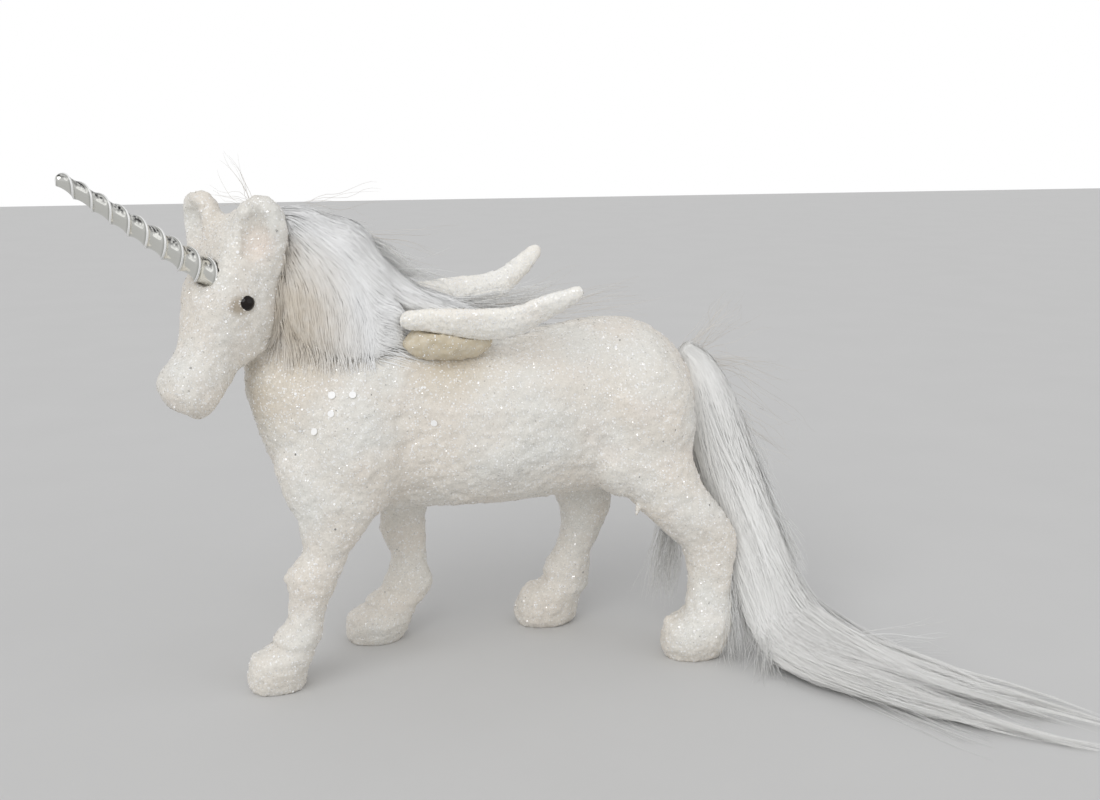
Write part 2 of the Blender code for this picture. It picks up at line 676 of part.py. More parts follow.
def lock_sections(lock):
    """Sections of one lock of hair along a quadratic curve."""
    root, middle, end, size_root, size_middle, size_end = lock
    rows = []
    for t in (0.0, 0.12, 0.25, 0.4, 0.55, 0.7, 0.85, 0.95, 1.0):
        point = Vector(root) * (1 - t) ** 2 + Vector(middle) * (2 * t * (1 - t)) + Vector(end) * t * t
        across = size_root[0] * (1 - t) ** 2 + size_middle[0] * (2 * t * (1 - t)) + size_end[0] * t * t
        out = size_root[1] * (1 - t) ** 2 + size_middle[1] * (2 * t * (1 - t)) + size_end[1] * t * t
        rows.append((point, across, out))
    sections = []
    for index, (point, across, out) in enumerate(rows):
        before = rows[max(index - 1, 0)][0]
        after = rows[min(index + 1, len(rows) - 1)][0]
        run = (after - before).normalized()
        wide = Vector((1.0, 0.0, 0.0)) if abs(run.x) < 0.75 else Vector((0.0, 1.0, 0.0))
        wide = (wide - run * wide.dot(run)).normalized()
        outward = run.cross(wide).normalized()
        taper = LOCK_END if index in (0, len(rows) - 1) else 1.0
        sections.append((point, wide * across * taper, outward * out * taper, 2.0, None))
    return sections


def build_mane(collection, material, seats):
    """Lay the locks of the mane over its core, fuse them and cut the seat of the neck and back."""
    bm = bmesh.new()
    for centre, radii in MANE_CORE:
        add_ellipsoid(bm, centre, radii)
    for lock in MANE_LOCKS:
        add_loft(bm, lock_sections(lock), 14)
    mane = link_mesh("mane", bm, collection, material)
    skin_over(mane, MANE_VOXEL, MANE_SMOOTH, MANE_TRIANGLES)
    for seat in seats:
        cut(mane, seat, f"Clear of {seat.name}")
    return mane


def build_tail(collection, material, seats):
    """Sweep the fluted tail from the dock down to the table and out over it."""
    rows = smooth_rows(TAIL, 2)
    sections = []
    count = len(rows) - 1
    for index, row in enumerate(rows):
        centre = Vector(row[:3])
        half_width, half_thickness = row[3:5]
        before = Vector(rows[max(index - 1, 0)][:3])
        after = Vector(rows[min(index + 1, count)][:3])
        run = (after - before).normalized()
        across = Vector(row[5:8])
        across = (across - run * across.dot(run)).normalized()
        out = run.cross(across).normalized()
        share = index / count
        fade = min(1.0, TAIL_FLUTE_RISE * share, TAIL_FLUTE_FALL * (1.0 - share) + TAIL_FLUTE_END)
        depth = TAIL_FLUTE_DEPTH * fade
        twist = TAIL_TWIST * share

        def flute(angle, depth=depth, twist=twist):
            return 1.0 - depth + depth * abs(math.cos(TAIL_FLUTES * 0.5 * (angle + twist)))

        sections.append((centre, across * half_width, out * half_thickness, 2.0, flute))
    bm = bmesh.new()
    add_loft(bm, sections, TAIL_SEGMENTS)
    tail = link_mesh("tail", bm, collection, material)
    for seat in seats:
        cut(tail, seat, f"Clear of {seat.name}")
    return tail


def centre_on_origin(collection):
    """Parent everything to an empty that puts the origin under the middle of the bounding box."""
    bpy.context.view_layer.update()
    depsgraph = bpy.context.evaluated_depsgraph_get()
    low = Vector((math.inf, math.inf, math.inf))
    high = -low
    for item in collection.objects:
        shape = item.evaluated_get(depsgraph)
        for vert in shape.to_mesh().vertices:
            place = item.matrix_world @ vert.co
            low = Vector(map(min, low, place))
            high = Vector(map(max, high, place))
        shape.to_mesh_clear()
    frame = bpy.data.objects.new("figure_origin", None)
    bpy.context.scene.collection.objects.link(frame)
    frame.location = (-(low.x + high.x) / 2.0, -(low.y + high.y) / 2.0, -low.z)
    for item in bpy.data.objects:
        if item is not frame:
            item.parent = frame
    bpy.context.view_layer.update()
    return frame


def main():
    clear_scene()
    figure = new_collection("Winged unicorn figurine")
    guides = new_collection("Cutters")
    coat = new_material("glitter_coat", (0.76, 0.72, 0.67), 0.55)
    chrome = new_material("silver_horn", (0.80, 0.81, 0.82), 0.08, 1.0)
    bead = new_material("black_bead", (0.01, 0.01, 0.01), 0.12)
    fur = new_material("white_fur", (0.82, 0.84, 0.86), 0.7)
    glue_finish = new_material("hot_glue", (0.62, 0.56, 0.38), 0.35)

    body = build_body(figure, guides, coat)
    body_seat = grown_copy(body, "body_seat", guides, SEAT_GAP)
    horn = build_horn(figure, chrome)
    horn_seat = grown_copy(horn, "horn_seat", guides, HORN_GAP)
    cut(body, horn_seat, "Horn seat")
    build_eye("eye_left", 1, figure, guides, bead, body)
    build_eye("eye_right", -1, figure, guides, bead, body)
    wing_left = build_wing("wing_left", WING_LEFT, -1, figure, coat)
    wing_right = build_wing("wing_right", WING_RIGHT, 1, figure, coat)
    left_seat = grown_copy(wing_left, "wing_left_seat", guides, SEAT_GAP)
    right_seat = grown_copy(wing_right, "wing_right_seat", guides, SEAT_GAP)
    glue_left = build_glue("wing_glue_left", GLUE_LEFT, figure, guides, glue_finish, (body_seat, left_seat))
    glue_right = build_glue("wing_glue_right", GLUE_RIGHT, figure, guides, glue_finish, (body_seat, right_seat))
    build_mane(figure, fur, (body_seat, left_seat, right_seat, glue_left, glue_right))
    build_tail(figure, fur, (body_seat,))
    for item in figure.objects:
        item.data.shade_smooth()
    centre_on_origin(figure)


main()
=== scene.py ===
"""Finish and fine form of the winged unicorn figurine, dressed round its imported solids."""
from __future__ import annotations

import logging
import math
from collections.abc import Callable, Sequence
from dataclasses import dataclass, field
from enum import Enum
from typing import Any

import bmesh
import bpy
import numpy as np
from mathutils import Matrix, Vector, noise
from mathutils.bvhtree import BVHTree


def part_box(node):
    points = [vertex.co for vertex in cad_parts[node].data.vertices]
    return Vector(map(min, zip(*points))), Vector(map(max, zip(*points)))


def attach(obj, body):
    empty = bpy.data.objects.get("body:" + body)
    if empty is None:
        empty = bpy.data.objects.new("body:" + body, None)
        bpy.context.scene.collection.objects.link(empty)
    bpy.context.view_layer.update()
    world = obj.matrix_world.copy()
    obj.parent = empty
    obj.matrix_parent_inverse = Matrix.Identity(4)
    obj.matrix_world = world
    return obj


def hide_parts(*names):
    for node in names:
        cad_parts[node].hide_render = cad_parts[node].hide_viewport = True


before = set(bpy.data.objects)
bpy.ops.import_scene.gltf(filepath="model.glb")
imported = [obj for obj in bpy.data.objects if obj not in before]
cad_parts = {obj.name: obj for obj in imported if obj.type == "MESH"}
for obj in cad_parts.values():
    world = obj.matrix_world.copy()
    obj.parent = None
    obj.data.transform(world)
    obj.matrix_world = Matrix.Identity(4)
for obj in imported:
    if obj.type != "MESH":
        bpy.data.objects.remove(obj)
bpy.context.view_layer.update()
LOG = logging.getLogger("figurine")
MM = 0.001

# Height above the table that still counts as sole, in millimetres
SOLE_BAND = 0.35

# Where the figure's own frame (head to -X, table at z = 0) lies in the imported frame, in millimetres
FIGURE_SHIFT = np.array([-18.64, 27.82, 0.0])


class Slot(Enum):
    """Material slots of the record."""

    COAT = "coat"
    WING = "wing"
    HORN = "horn"
    EYE = "eye"
    GLUE = "glue"
    FUR = "fur"


class Tint(Enum):
    """Shades of the soft patches on the coat and in the mane."""

    BROWN = (0.40, 0.34, 0.26, 1.0)
    ROSE = (0.78, 0.67, 0.60, 1.0)
    COOL = (0.79, 0.82, 0.80, 1.0)
    OCHRE = (0.46, 0.37, 0.20, 1.0)
    SAND = (0.62, 0.53, 0.40, 1.0)


Point = tuple[float, float, float]
Colour = tuple[float, float, float, float]
Patch = tuple[Point, float, float, Tint]
Wisp = tuple[Point, Point, float, int, float]


def placed(point: Sequence[float]) -> Vector:
    """Turn a point of the figure's own frame, in millimetres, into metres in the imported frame."""
    return Vector((np.asarray(point, float) + FIGURE_SHIFT) * MM)


class Wire:
    """A shader socket that takes part in arithmetic."""

    def __init__(self, board: "Board", socket: Any) -> None:
        """Keep the socket and the board it belongs to."""
        self.board = board
        self.socket = socket

    def _maths(self, operation: str, left: Any, right: Any) -> "Wire":
        """Add one Math node and return its output."""
        return self.board.node("ShaderNodeMath", {"operation": operation}, {0: left, 1: right})

    def __add__(self, other: Any) -> "Wire":
        """Sum."""
        return self._maths("ADD", self, other)

    def __radd__(self, other: Any) -> "Wire":
        """Sum with a number on the left."""
        return self._maths("ADD", other, self)

    def __sub__(self, other: Any) -> "Wire":
        """Difference."""
        return self._maths("SUBTRACT", self, other)

    def __rsub__(self, other: Any) -> "Wire":
        """Difference with a number on the left."""
        return self._maths("SUBTRACT", other, self)

    def __mul__(self, other: Any) -> "Wire":
        """Product."""
        return self._maths("MULTIPLY", self, other)

    def __rmul__(self, other: Any) -> "Wire":
        """Product with a number on the left."""
        return self._maths("MULTIPLY", other, self)

    def __truediv__(self, other: Any) -> "Wire":
        """Quotient."""
        return self._maths("DIVIDE", self, other)

    def __gt__(self, other: Any) -> "Wire":
        """One where the value is above the other."""
        return self._maths("GREATER_THAN", self, other)

    def __lt__(self, other: Any) -> "Wire":
        """One where the value is below the other."""
        return self._maths("LESS_THAN", self, other)

    def clamped(self) -> "Wire":
        """Hold the value between 0 and 1."""
        return self.board.node("ShaderNodeClamp", {}, {"Value": self})


class Board:
    """The node board of one material, with a Principled shader ready on it."""

    def __init__(self, name: str) -> None:
        """Start a material.

        Args:
            name: the material's name.
        """
        self.material = bpy.data.materials.new(name)
        self.material.use_nodes = True
        self.tree = self.material.node_tree
        self.shader = self.tree.nodes["Principled BSDF"]

    def node(self, kind: str, settings: dict[str, Any], values: dict[Any, Any], output: Any = 0) -> Wire:
        """Add a node, set it up and feed its sockets.

        Args:
            kind: the node's type name.
            settings: the node's own properties, or a ramp's stops under "stops".
            values: numbers, colours or wires by input name or index.
            output: name or index of the output to return.

        Returns:
            The chosen output as a wire.
        """
        made = self.tree.nodes.new(kind)
        for key, value in settings.items():
            if key == "stops":
                stops = made.color_ramp.elements
                while len(stops) < len(value):
                    stops.new(0.5)
                for stop, (place, colour) in zip(stops, value):
                    stop.position = place
                    stop.color = colour
            else:
                setattr(made, key, value)
        for key, value in values.items():
            self.feed(made.inputs[key], value)
        return Wire(self, made.outputs[output])

    def feed(self, socket: Any, value: Any) -> None:
        """Link a wire to a socket or set the socket's number or colour."""
        if isinstance(value, Wire):
            self.tree.links.new(value.socket, socket)
        else:
            socket.default_value = value

    def place(self, scale: float = 1.0) -> Wire:
        """Object coordinates of the piece, scaled.

        Args:
            scale: how many times the coordinates are enlarged.

        Returns:
            The scaled coordinates.
        """
        source = self.node("ShaderNodeTexCoord", {}, {}, "Object")
        return self.node("ShaderNodeVectorMath", {"operation": "SCALE"}, {0: source, "Scale": scale})

    def mottle(self, size_mm: float, detail: float = 2.0) -> Wire:
        """Soft noise whose patches are about size_mm across."""
        values = {"Vector": self.place(1.0 / (size_mm * MM)), "Scale": 1.0, "Detail": detail}
        return self.node("ShaderNodeTexNoise", {}, values, "Fac")

    def vectors(self, operation: str, *values: Any, output: int = 0) -> Wire:
        """Add one Vector Math node and return an output of it."""
        settings = {"operation": operation}
        return self.node("ShaderNodeVectorMath", settings, dict(enumerate(values)), output)

    def shade(self, name: str = "shade") -> Wire:
        """Number kept under a name at the corners of the mesh."""
        return self.node("ShaderNodeAttribute", {"attribute_name": name}, {}, "Fac")

    def grains(self, size_mm: float) -> Wire:
        """Random colour of each grain, about size_mm across."""
        cells = {"Vector": self.place(1.0 / (size_mm * MM)), "Scale": 1.0}
        return self.node("ShaderNodeTexVoronoi", {"feature": "F1"}, cells, "Color")

    def channel(self, colour: Wire, name: str) -> Wire:
        """One channel of a colour, by its name."""
        return self.node("ShaderNodeSeparateColor", {}, {0: colour}, name)

    def bump(self, strength: float, depth_mm: float, height: Wire, **more: Wire) -> Wire:
        """Bend the normal by a height."""
        values = {"Strength": strength, "Distance": depth_mm * MM, "Height": height, **more}
        return self.node("ShaderNodeBump", {}, values)

    def blend(self, share: Any, first: Any, second: Any, mode: str = "MIX") -> Wire:
        """Mix two colours.

        Args:
            share: how much of the second, a number or a wire.
            first: the first colour.
            second: the second colour.
            mode: the way that they are mixed.

        Returns:
            The mixed colour.
        """
        settings = {"data_type": "RGBA", "blend_type": mode}
        return self.node("ShaderNodeMix", settings, {0: share, 6: first, 7: second}, 2)

    def patched(self, colour: Any, patches: Sequence[Patch]) -> Any:
        """Lay soft patches over a colour.

        Args:
            colour: the colour below.
            patches: centre in the figure's own frame, radius in millimetres, strength and tint of each.

        Returns:
            The patched colour.
        """
        for centre, radius, strength, tint in patches:
            away = self.vectors("DISTANCE", self.place(), placed(centre), output=1)
            mask = (1.0 - away / (radius * MM)).clamped() * (strength * 2.0)
            mask = (mask * (0.6 + self.mottle(2.2, 3.0) * 0.8)).clamped()
            colour = self.blend(mask * strength, colour, tint.value)
        return colour

    def finish(self, **sockets: Any) -> bpy.types.Material:
        """Feed the Principled shader's sockets, named with underscores, and return the material."""
        for key, value in sockets.items():
            self.feed(self.shader.inputs[key.replace("_", " ")], value)
        return self.material


@dataclass(frozen=True)
class GlitterCoat:
    """Grainy off-white glitter over white glue."""

    name: str
    colour: Colour = (0.79, 0.74, 0.665, 1.0)
    cool: Colour = (0.78, 0.77, 0.725, 1.0)
    patches: tuple[Patch, ...] = ()
    grain_mm: float = 0.34
    bright_share: float = 0.08
    dark_share: float = 0.0015
    tilt: float = 0.34

    def material(self) -> bpy.types.Material:
        """Build the material.

        Returns:
            The coat with patches, grain, and bright and dark grains.
        """
        board = Board(self.name)
        colour = board.blend(((board.mottle(17.0) - 0.38) * 3.2).clamped(), self.colour, self.cool)
        colour = board.blend(((board.mottle(8.0, 3.0) - 0.5) * 2.2).clamped() * 0.3, colour, Tint.ROSE.value)
        colour = board.patched(colour, self.patches)
        grain = board.grains(self.grain_mm)
        chance = board.channel(grain, "Red")
        other = board.channel(grain, "Green")
        level = 0.95 + chance * 0.1
        shade = board.node("ShaderNodeCombineColor", {}, {0: level, 1: level, 2: level})
        colour = board.blend(1.0, colour, shade, "MULTIPLY")
        colour = board.blend((other > 1.0 - self.dark_share) * 0.4, colour, (0.20, 0.19, 0.18, 1.0))
        bright = other < self.bright_share
        colour = board.blend(bright * 0.7, colour, (0.97, 0.97, 0.97, 1.0))
        tilt = board.vectors("SUBTRACT", grain, (0.5, 0.5, 0.5))
        tilt = board.vectors("MULTIPLY", tilt, (self.tilt,) * 3)
        facing = board.node("ShaderNodeNewGeometry", {}, {}, "Normal")
        facing = board.vectors("NORMALIZE", board.vectors("ADD", facing, tilt))
        bump = board.bump(0.35, 0.2, board.mottle(0.6, 3.0), Normal=facing)
        roughness = 0.6 - (chance > 0.8) * 0.3
        return board.finish(Base_Color=colour, Roughness=roughness, Normal=bump, Coat_Weight=bright * 0.5)


@dataclass(frozen=True)
class ShadedFinish:
    """Glitter film or fur, its shade changing from one flake or strand to the next."""

    name: str
    first: Colour
    second: Colour
    roughness: float
    metallic: float = 0.0
    sheen: float = 0.0
    patches: tuple[Patch, ...] = ()

    def material(self) -> bpy.types.Material:
        """Build the material."""
        board = Board(self.name)
        colour = board.patched(board.blend(board.shade(), self.first, self.second), self.patches)
        values = {"Roughness": self.roughness, "Metallic": self.metallic, "Sheen_Weight": self.sheen}
        return board.finish(Base_Color=colour, **values)


def fur(name: str, first: Colour, second: Colour, patches: tuple[Patch, ...] = ()) -> ShadedFinish:
    """Name the finish of one kind of hair.

    Args:
        name: the material's name.
        first: shade of the darkest strands.
        second: shade of the lightest strands.
        patches: soft patches over them.

    Returns:
        The finish, with the soft gloss of fur.
    """
    return ShadedFinish(name, first, second, 0.45, sheen=0.4, patches=patches)


@dataclass(frozen=True)
class TwistedSilver:
    """Polished plating, with a painted highlight on each raised edge and painted dark reflections on the
    flanks between them.
    """

    name: str = "twisted_silver"

    def material(self) -> bpy.types.Material:
        """Build the material."""
        board = Board(self.name)
        crest = board.shade("crest")
        # Colour by crest value: plain grey on the flanks, a dark band of painted reflection beside each edge,
        # and a white painted highlight along the edge.
        dark = (0.52, 0.525, 0.49, 1.0)
        middle = (0.80, 0.80, 0.76, 1.0)
        bright = (1.0, 1.0, 0.99, 1.0)
        stops = [(0.0, middle), (0.3, middle), (0.56, dark), (0.7, bright)]
        colour = board.node("ShaderNodeValToRGB", {"stops": stops}, {0: crest}, "Color")
        # Near-black patches of painted dark reflection on the flanks that face upwards, where the shadow
        # value is high.
        cloud = ((board.mottle(0.7, 2.0) - 0.40) * 6.0).clamped() * board.shade("shadow")
        colour = board.blend(cloud.clamped(), colour, (0.02, 0.02, 0.022, 1.0))
        # The painted highlight along the edges is plain white, not metal.
        metal = 1.0 - (crest > 0.64) * 0.8
        return board.finish(Base_Color=colour, Metallic=metal, Roughness=0.12)


@dataclass(frozen=True)
class BlackBead:
    """Glossy black glass bead."""

    name: str = "black_bead_gloss"

    def material(self) -> bpy.types.Material:
        """Build the material."""
        board = Board(self.name)
        cloud = board.mottle(1.2)
        colour = board.blend(cloud, (0.004, 0.003, 0.003, 1.0), (0.014, 0.008, 0.005, 1.0))
        return board.finish(Base_Color=colour, Roughness=0.08, Specular_IOR_Level=0.3)


@dataclass(frozen=True)
class HotGlue:
    """Yellowish hot glue with a little glitter in it."""

    name: str = "hot_glue_bead"

    def material(self) -> bpy.types.Material:
        """Build the material."""
        board = Board(self.name)
        cloud = board.mottle(3.0, 3.0)
        colour = board.blend(cloud, (0.52, 0.44, 0.29, 1.0), (0.72, 0.65, 0.53, 1.0))
        chance = board.channel(board.grains(0.45), "Green")
        colour = board.blend((chance > 0.82) * 0.35, colour, (0.70, 0.68, 0.62, 1.0))
        bump = board.bump(0.4, 0.3, board.mottle(1.4, 3.0))
        return board.finish(Base_Color=colour, Roughness=0.4, Normal=bump)


@dataclass(frozen=True)
class FurBed:
    """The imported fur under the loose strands."""

    name: str
    patches: tuple[Patch, ...] = ()

    def material(self) -> bpy.types.Material:
        """Build the material."""
        board = Board(self.name)
        cloud = ((board.mottle(5.0, 4.0) - 0.4) * 3.0).clamped()
        colour = board.blend(cloud, (0.84, 0.84, 0.83, 1.0), (0.92, 0.92, 0.92, 1.0))
        bump = board.bump(0.6, 0.4, board.mottle(0.5, 3.0))
        return board.finish(Base_Color=board.patched(colour, self.patches), Roughness=0.75, Normal=bump)


def dress(item: bpy.types.Object, material: bpy.types.Material, slot: Slot, *nodes: str) -> bpy.types.Object:
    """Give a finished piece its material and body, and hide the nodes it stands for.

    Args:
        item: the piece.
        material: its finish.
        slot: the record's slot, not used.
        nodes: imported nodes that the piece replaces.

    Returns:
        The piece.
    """
    item.data.materials.clear()
    item.data.materials.append(material)
    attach(item, "root")
    if nodes:
        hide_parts(*nodes)
    LOG.info("%s: %d faces", item.name, len(item.data.polygons))
    return item


def link(name: str, mesh: bpy.types.Mesh) -> bpy.types.Object:
    """Make an object for a mesh and link it to the scene."""
    mesh.name = name
    item = bpy.data.objects.new(name, mesh)
    bpy.context.scene.collection.objects.link(item)
    return item


def settled(name: str, bm: bmesh.types.BMesh) -> bpy.types.Object:
    """Turn a bmesh, which is freed, into a smooth object of the scene."""
    mesh = bpy.data.meshes.new(name)
    bm.to_mesh(mesh)
    bm.free()
    mesh.shade_smooth()
    return link(name, mesh)


def keep_shades(mesh: bpy.types.Mesh, values: np.ndarray) -> None:
    """Keep one shade for each corner of a mesh."""
    mesh.attributes.new("shade", "FLOAT", "POINT").data.foreach_set("value", values)


def evaluated_mesh(item: bpy.types.Object) -> bpy.types.Mesh:
    """Return a new mesh with the object's modifiers applied."""
    bpy.context.view_layer.update()
    graph = bpy.context.evaluated_depsgraph_get()
    return bpy.data.meshes.new_from_object(item.evaluated_get(graph), depsgraph=graph)


def fused(name: str, bm: bmesh.types.BMesh, voxel_mm: float, passes: int) -> bpy.types.Object:
    """Fuse the forms of a bmesh into one fine, softened skin.

    Args:
        name: the new object's name.
        bm: the forms, which are freed.
        voxel_mm: size of the fine faces.
        passes: smoothing passes.

    Returns:
        The new object, smooth shaded.
    """
    item = settled(name, bm)
    mesh = item.data
    remesh = item.modifiers.new("Fuse", "REMESH")
    remesh.mode = "VOXEL"
    remesh.voxel_size = voxel_mm * MM
    soften = item.modifiers.new("Soften", "SMOOTH")
    soften.factor = 0.5
    soften.iterations = passes
    result = evaluated_mesh(item)
    item.modifiers.clear()
    item.data = result
    bpy.data.meshes.remove(mesh)
    result.name = name
    result.shade_smooth()
    return item


def merged_copy(*nodes: str) -> bmesh.types.BMesh:
    """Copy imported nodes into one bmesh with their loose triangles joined."""
    bm = bmesh.new()
    for node in nodes:
        bm.from_mesh(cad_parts[node].data)
    bmesh.ops.remove_doubles(bm, verts=bm.verts, dist=1e-6)
    return bm


def add_ball(bm: bmesh.types.BMesh, centre: Vector, radius_mm: float, fineness: int = 3) -> None:
    """Add a ball to a form.

    Args:
        bm: the form.
        centre: its middle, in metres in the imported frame.
        radius_mm: its radius.
        fineness: how often its faces are split.
    """
    matrix = Matrix.Translation(centre)
    bmesh.ops.create_icosphere(bm, subdivisions=fineness, radius=radius_mm * MM, matrix=matrix)


def corners_of(mesh: bpy.types.Mesh) -> np.ndarray:
    """Read the corners of a mesh, one row each."""
    places = np.empty(len(mesh.vertices) * 3)
    mesh.vertices.foreach_get("co", places)
    return places.reshape(-1, 3)


def move_corners(mesh: bpy.types.Mesh, places: np.ndarray) -> None:
    """Put the corners of a mesh at new places."""
    mesh.vertices.foreach_set("co", places.ravel())
    mesh.update()


def roughen(
    item: bpy.types.Object, layers: Sequence[tuple[float, float]], lift_mm: float = 0.0, floor: bool = False
) -> None:
    """Push a skin in and out along its normals with several sizes of noise.

    Args:
        item: the object whose mesh is moved.
        layers: pairs of lump size and height, in millimetres.
        lift_mm: even growth added to the noise.
        floor: keep the soles flat and above the table.
    """
    mesh = item.data
    places = corners_of(mesh)
    normals = np.array([tuple(vert.normal) for vert in mesh.vertices])
    push = np.full(len(places), lift_mm)
    for size, height in layers:
        scale = 1.0 / (size * MM)
        push = push + np.array([noise.noise(Vector(place) * scale) for place in places]) * height
    moved = places + normals * (push * MM)[:, None]
    if floor:
        sole = places[:, 2] < SOLE_BAND * MM
        moved[sole] = places[sole]
        moved[sole, 2] = 0.0
        moved[:, 2] = np.maximum(moved[:, 2], 0.0)
    move_corners(mesh, moved)


def press(item: bpy.types.Object, centre: Point, way: Point, radii: Point, depth: float) -> None:
    """Press a soft hollow into a skin, or raise a swelling with a negative depth.

    Args:
        item: the object whose mesh is moved.
        centre: middle of the hollow in the figure's own frame.
        way: the way that the skin is pressed.
        radii: reach along x, y and z in millimetres.
        depth: how deep, in millimetres.
    """
    places = corners_of(item.data)
    away = (places - np.array(placed(centre))) / (np.array(radii) * MM)
    share = np.exp(-(away**2).sum(1))
    push = np.array(Vector(way).normalized())
    move_corners(item.data, places + share[:, None] * push * (depth * MM))


def lofted(
    name: str, last: int, segments: int, layers: Sequence[str], put: Callable[..., None]
) -> bpy.types.Object:
    """Bridge rings of corners into a closed, smooth skin.

    Args:
        name: the new object's name.
        last: number of the last ring, counted from 0.
        segments: corners of each ring.
        layers: names of the numbers kept at the corners.
        put: places a corner, given the corner, its ring's number and its angle.

    Returns:
        The new object.
    """
    bm = bmesh.new()
    kept = [bm.verts.layers.float.new(layer) for layer in layers]
    previous: list[bmesh.types.BMEdge] = []
    for index in range(last + 1):
        ring = bmesh.ops.create_circle(bm, cap_ends=index in (0, last), segments=segments, radius=1.0)
        edges = set()
        for vert in ring["verts"]:
            put(vert, index, math.atan2(vert.co.y, vert.co.x), *kept)
            edges.update(vert.link_edges)
        if previous:
            bmesh.ops.bridge_loops(bm, edges=previous + list(edges))
        previous = list(edges)
    bmesh.ops.recalc_face_normals(bm, faces=bm.faces)
    return settled(name, bm)


def cut_flake(sides: int) -> tuple[np.ndarray, list[list[int]]]:
    """Cut one flake of glitter film, 1 across its radius.

    Args:
        sides: how many sides it has.

    Returns:
        Its corners and its face.
    """
    bm = bmesh.new()
    bmesh.ops.create_circle(bm, cap_ends=True, segments=sides, radius=1.0)
    corners = np.array([tuple(vert.co) for vert in bm.verts])
    faces = [[vert.index for vert in face.verts] for face in bm.faces]
    bm.free()
    return corners, faces


@dataclass
class FlakeScatter:
    """Glitter flakes laid on a skin at random, each lifted and tilted a little.

    No flake starts lower than bare_mm, and none reaches lower than clear_mm above the table.
    """

    name: str
    count: int
    radii_mm: tuple[float, float]
    tilt: float
    lift_mm: float
    seed: int
    places: tuple[Point, ...] = ()
    sides: int = 6
    bare_mm: float = 0.6
    clear_mm: float = 0.05

    def scatter(self, skin: bpy.types.Object) -> bpy.types.Object:
        """Lay the flakes.

        Args:
            skin: the coated skin.

        Returns:
            One object with all the flakes and their shades.
        """
        rng = np.random.default_rng(self.seed)
        faces = skin.data.polygons
        total = len(faces)
        centres, facing, areas = np.empty(total * 3), np.empty(total * 3), np.empty(total)
        for key, values in (("center", centres), ("normal", facing), ("area", areas)):
            faces.foreach_get(key, values)
        centres = centres.reshape(-1, 3)
        facing = facing.reshape(-1, 3)
        if self.places:
            spots = [np.array(placed(spot)) for spot in self.places]
            chosen = np.array([int(np.argmin(((centres - spot) ** 2).sum(1))) for spot in spots])
        else:
            weights = areas * (centres[:, 2] > self.bare_mm * MM)
            chosen = rng.choice(total, self.count, p=weights / weights.sum())
        number = len(chosen)
        normal = unit(facing[chosen] + rng.normal(0.0, self.tilt, (number, 3)))
        side = unit(np.cross(normal, rng.normal(0.0, 1.0, (number, 3))))
        other = np.cross(normal, side)
        radius = rng.uniform(*self.radii_mm, number) * MM
        corners, outline = cut_flake(self.sides)
        base = centres[chosen] + facing[chosen] * (self.lift_mm * MM)
        flat = corners[None, :, 0:1] * side[:, None, :] + corners[None, :, 1:2] * other[:, None, :]
        points = (base[:, None, :] + flat * radius[:, None, None]).reshape(-1, 3)
        points[:, 2] = np.maximum(points[:, 2], self.clear_mm * MM)
        size = len(corners)
        mesh = bpy.data.meshes.new(self.name)
        loops = [[corner + flake * size for corner in face] for flake in range(number) for face in outline]
        mesh.from_pydata(points.tolist(), [], loops)
        keep_shades(mesh, np.repeat(rng.random(number), size))
        return link(self.name, mesh)


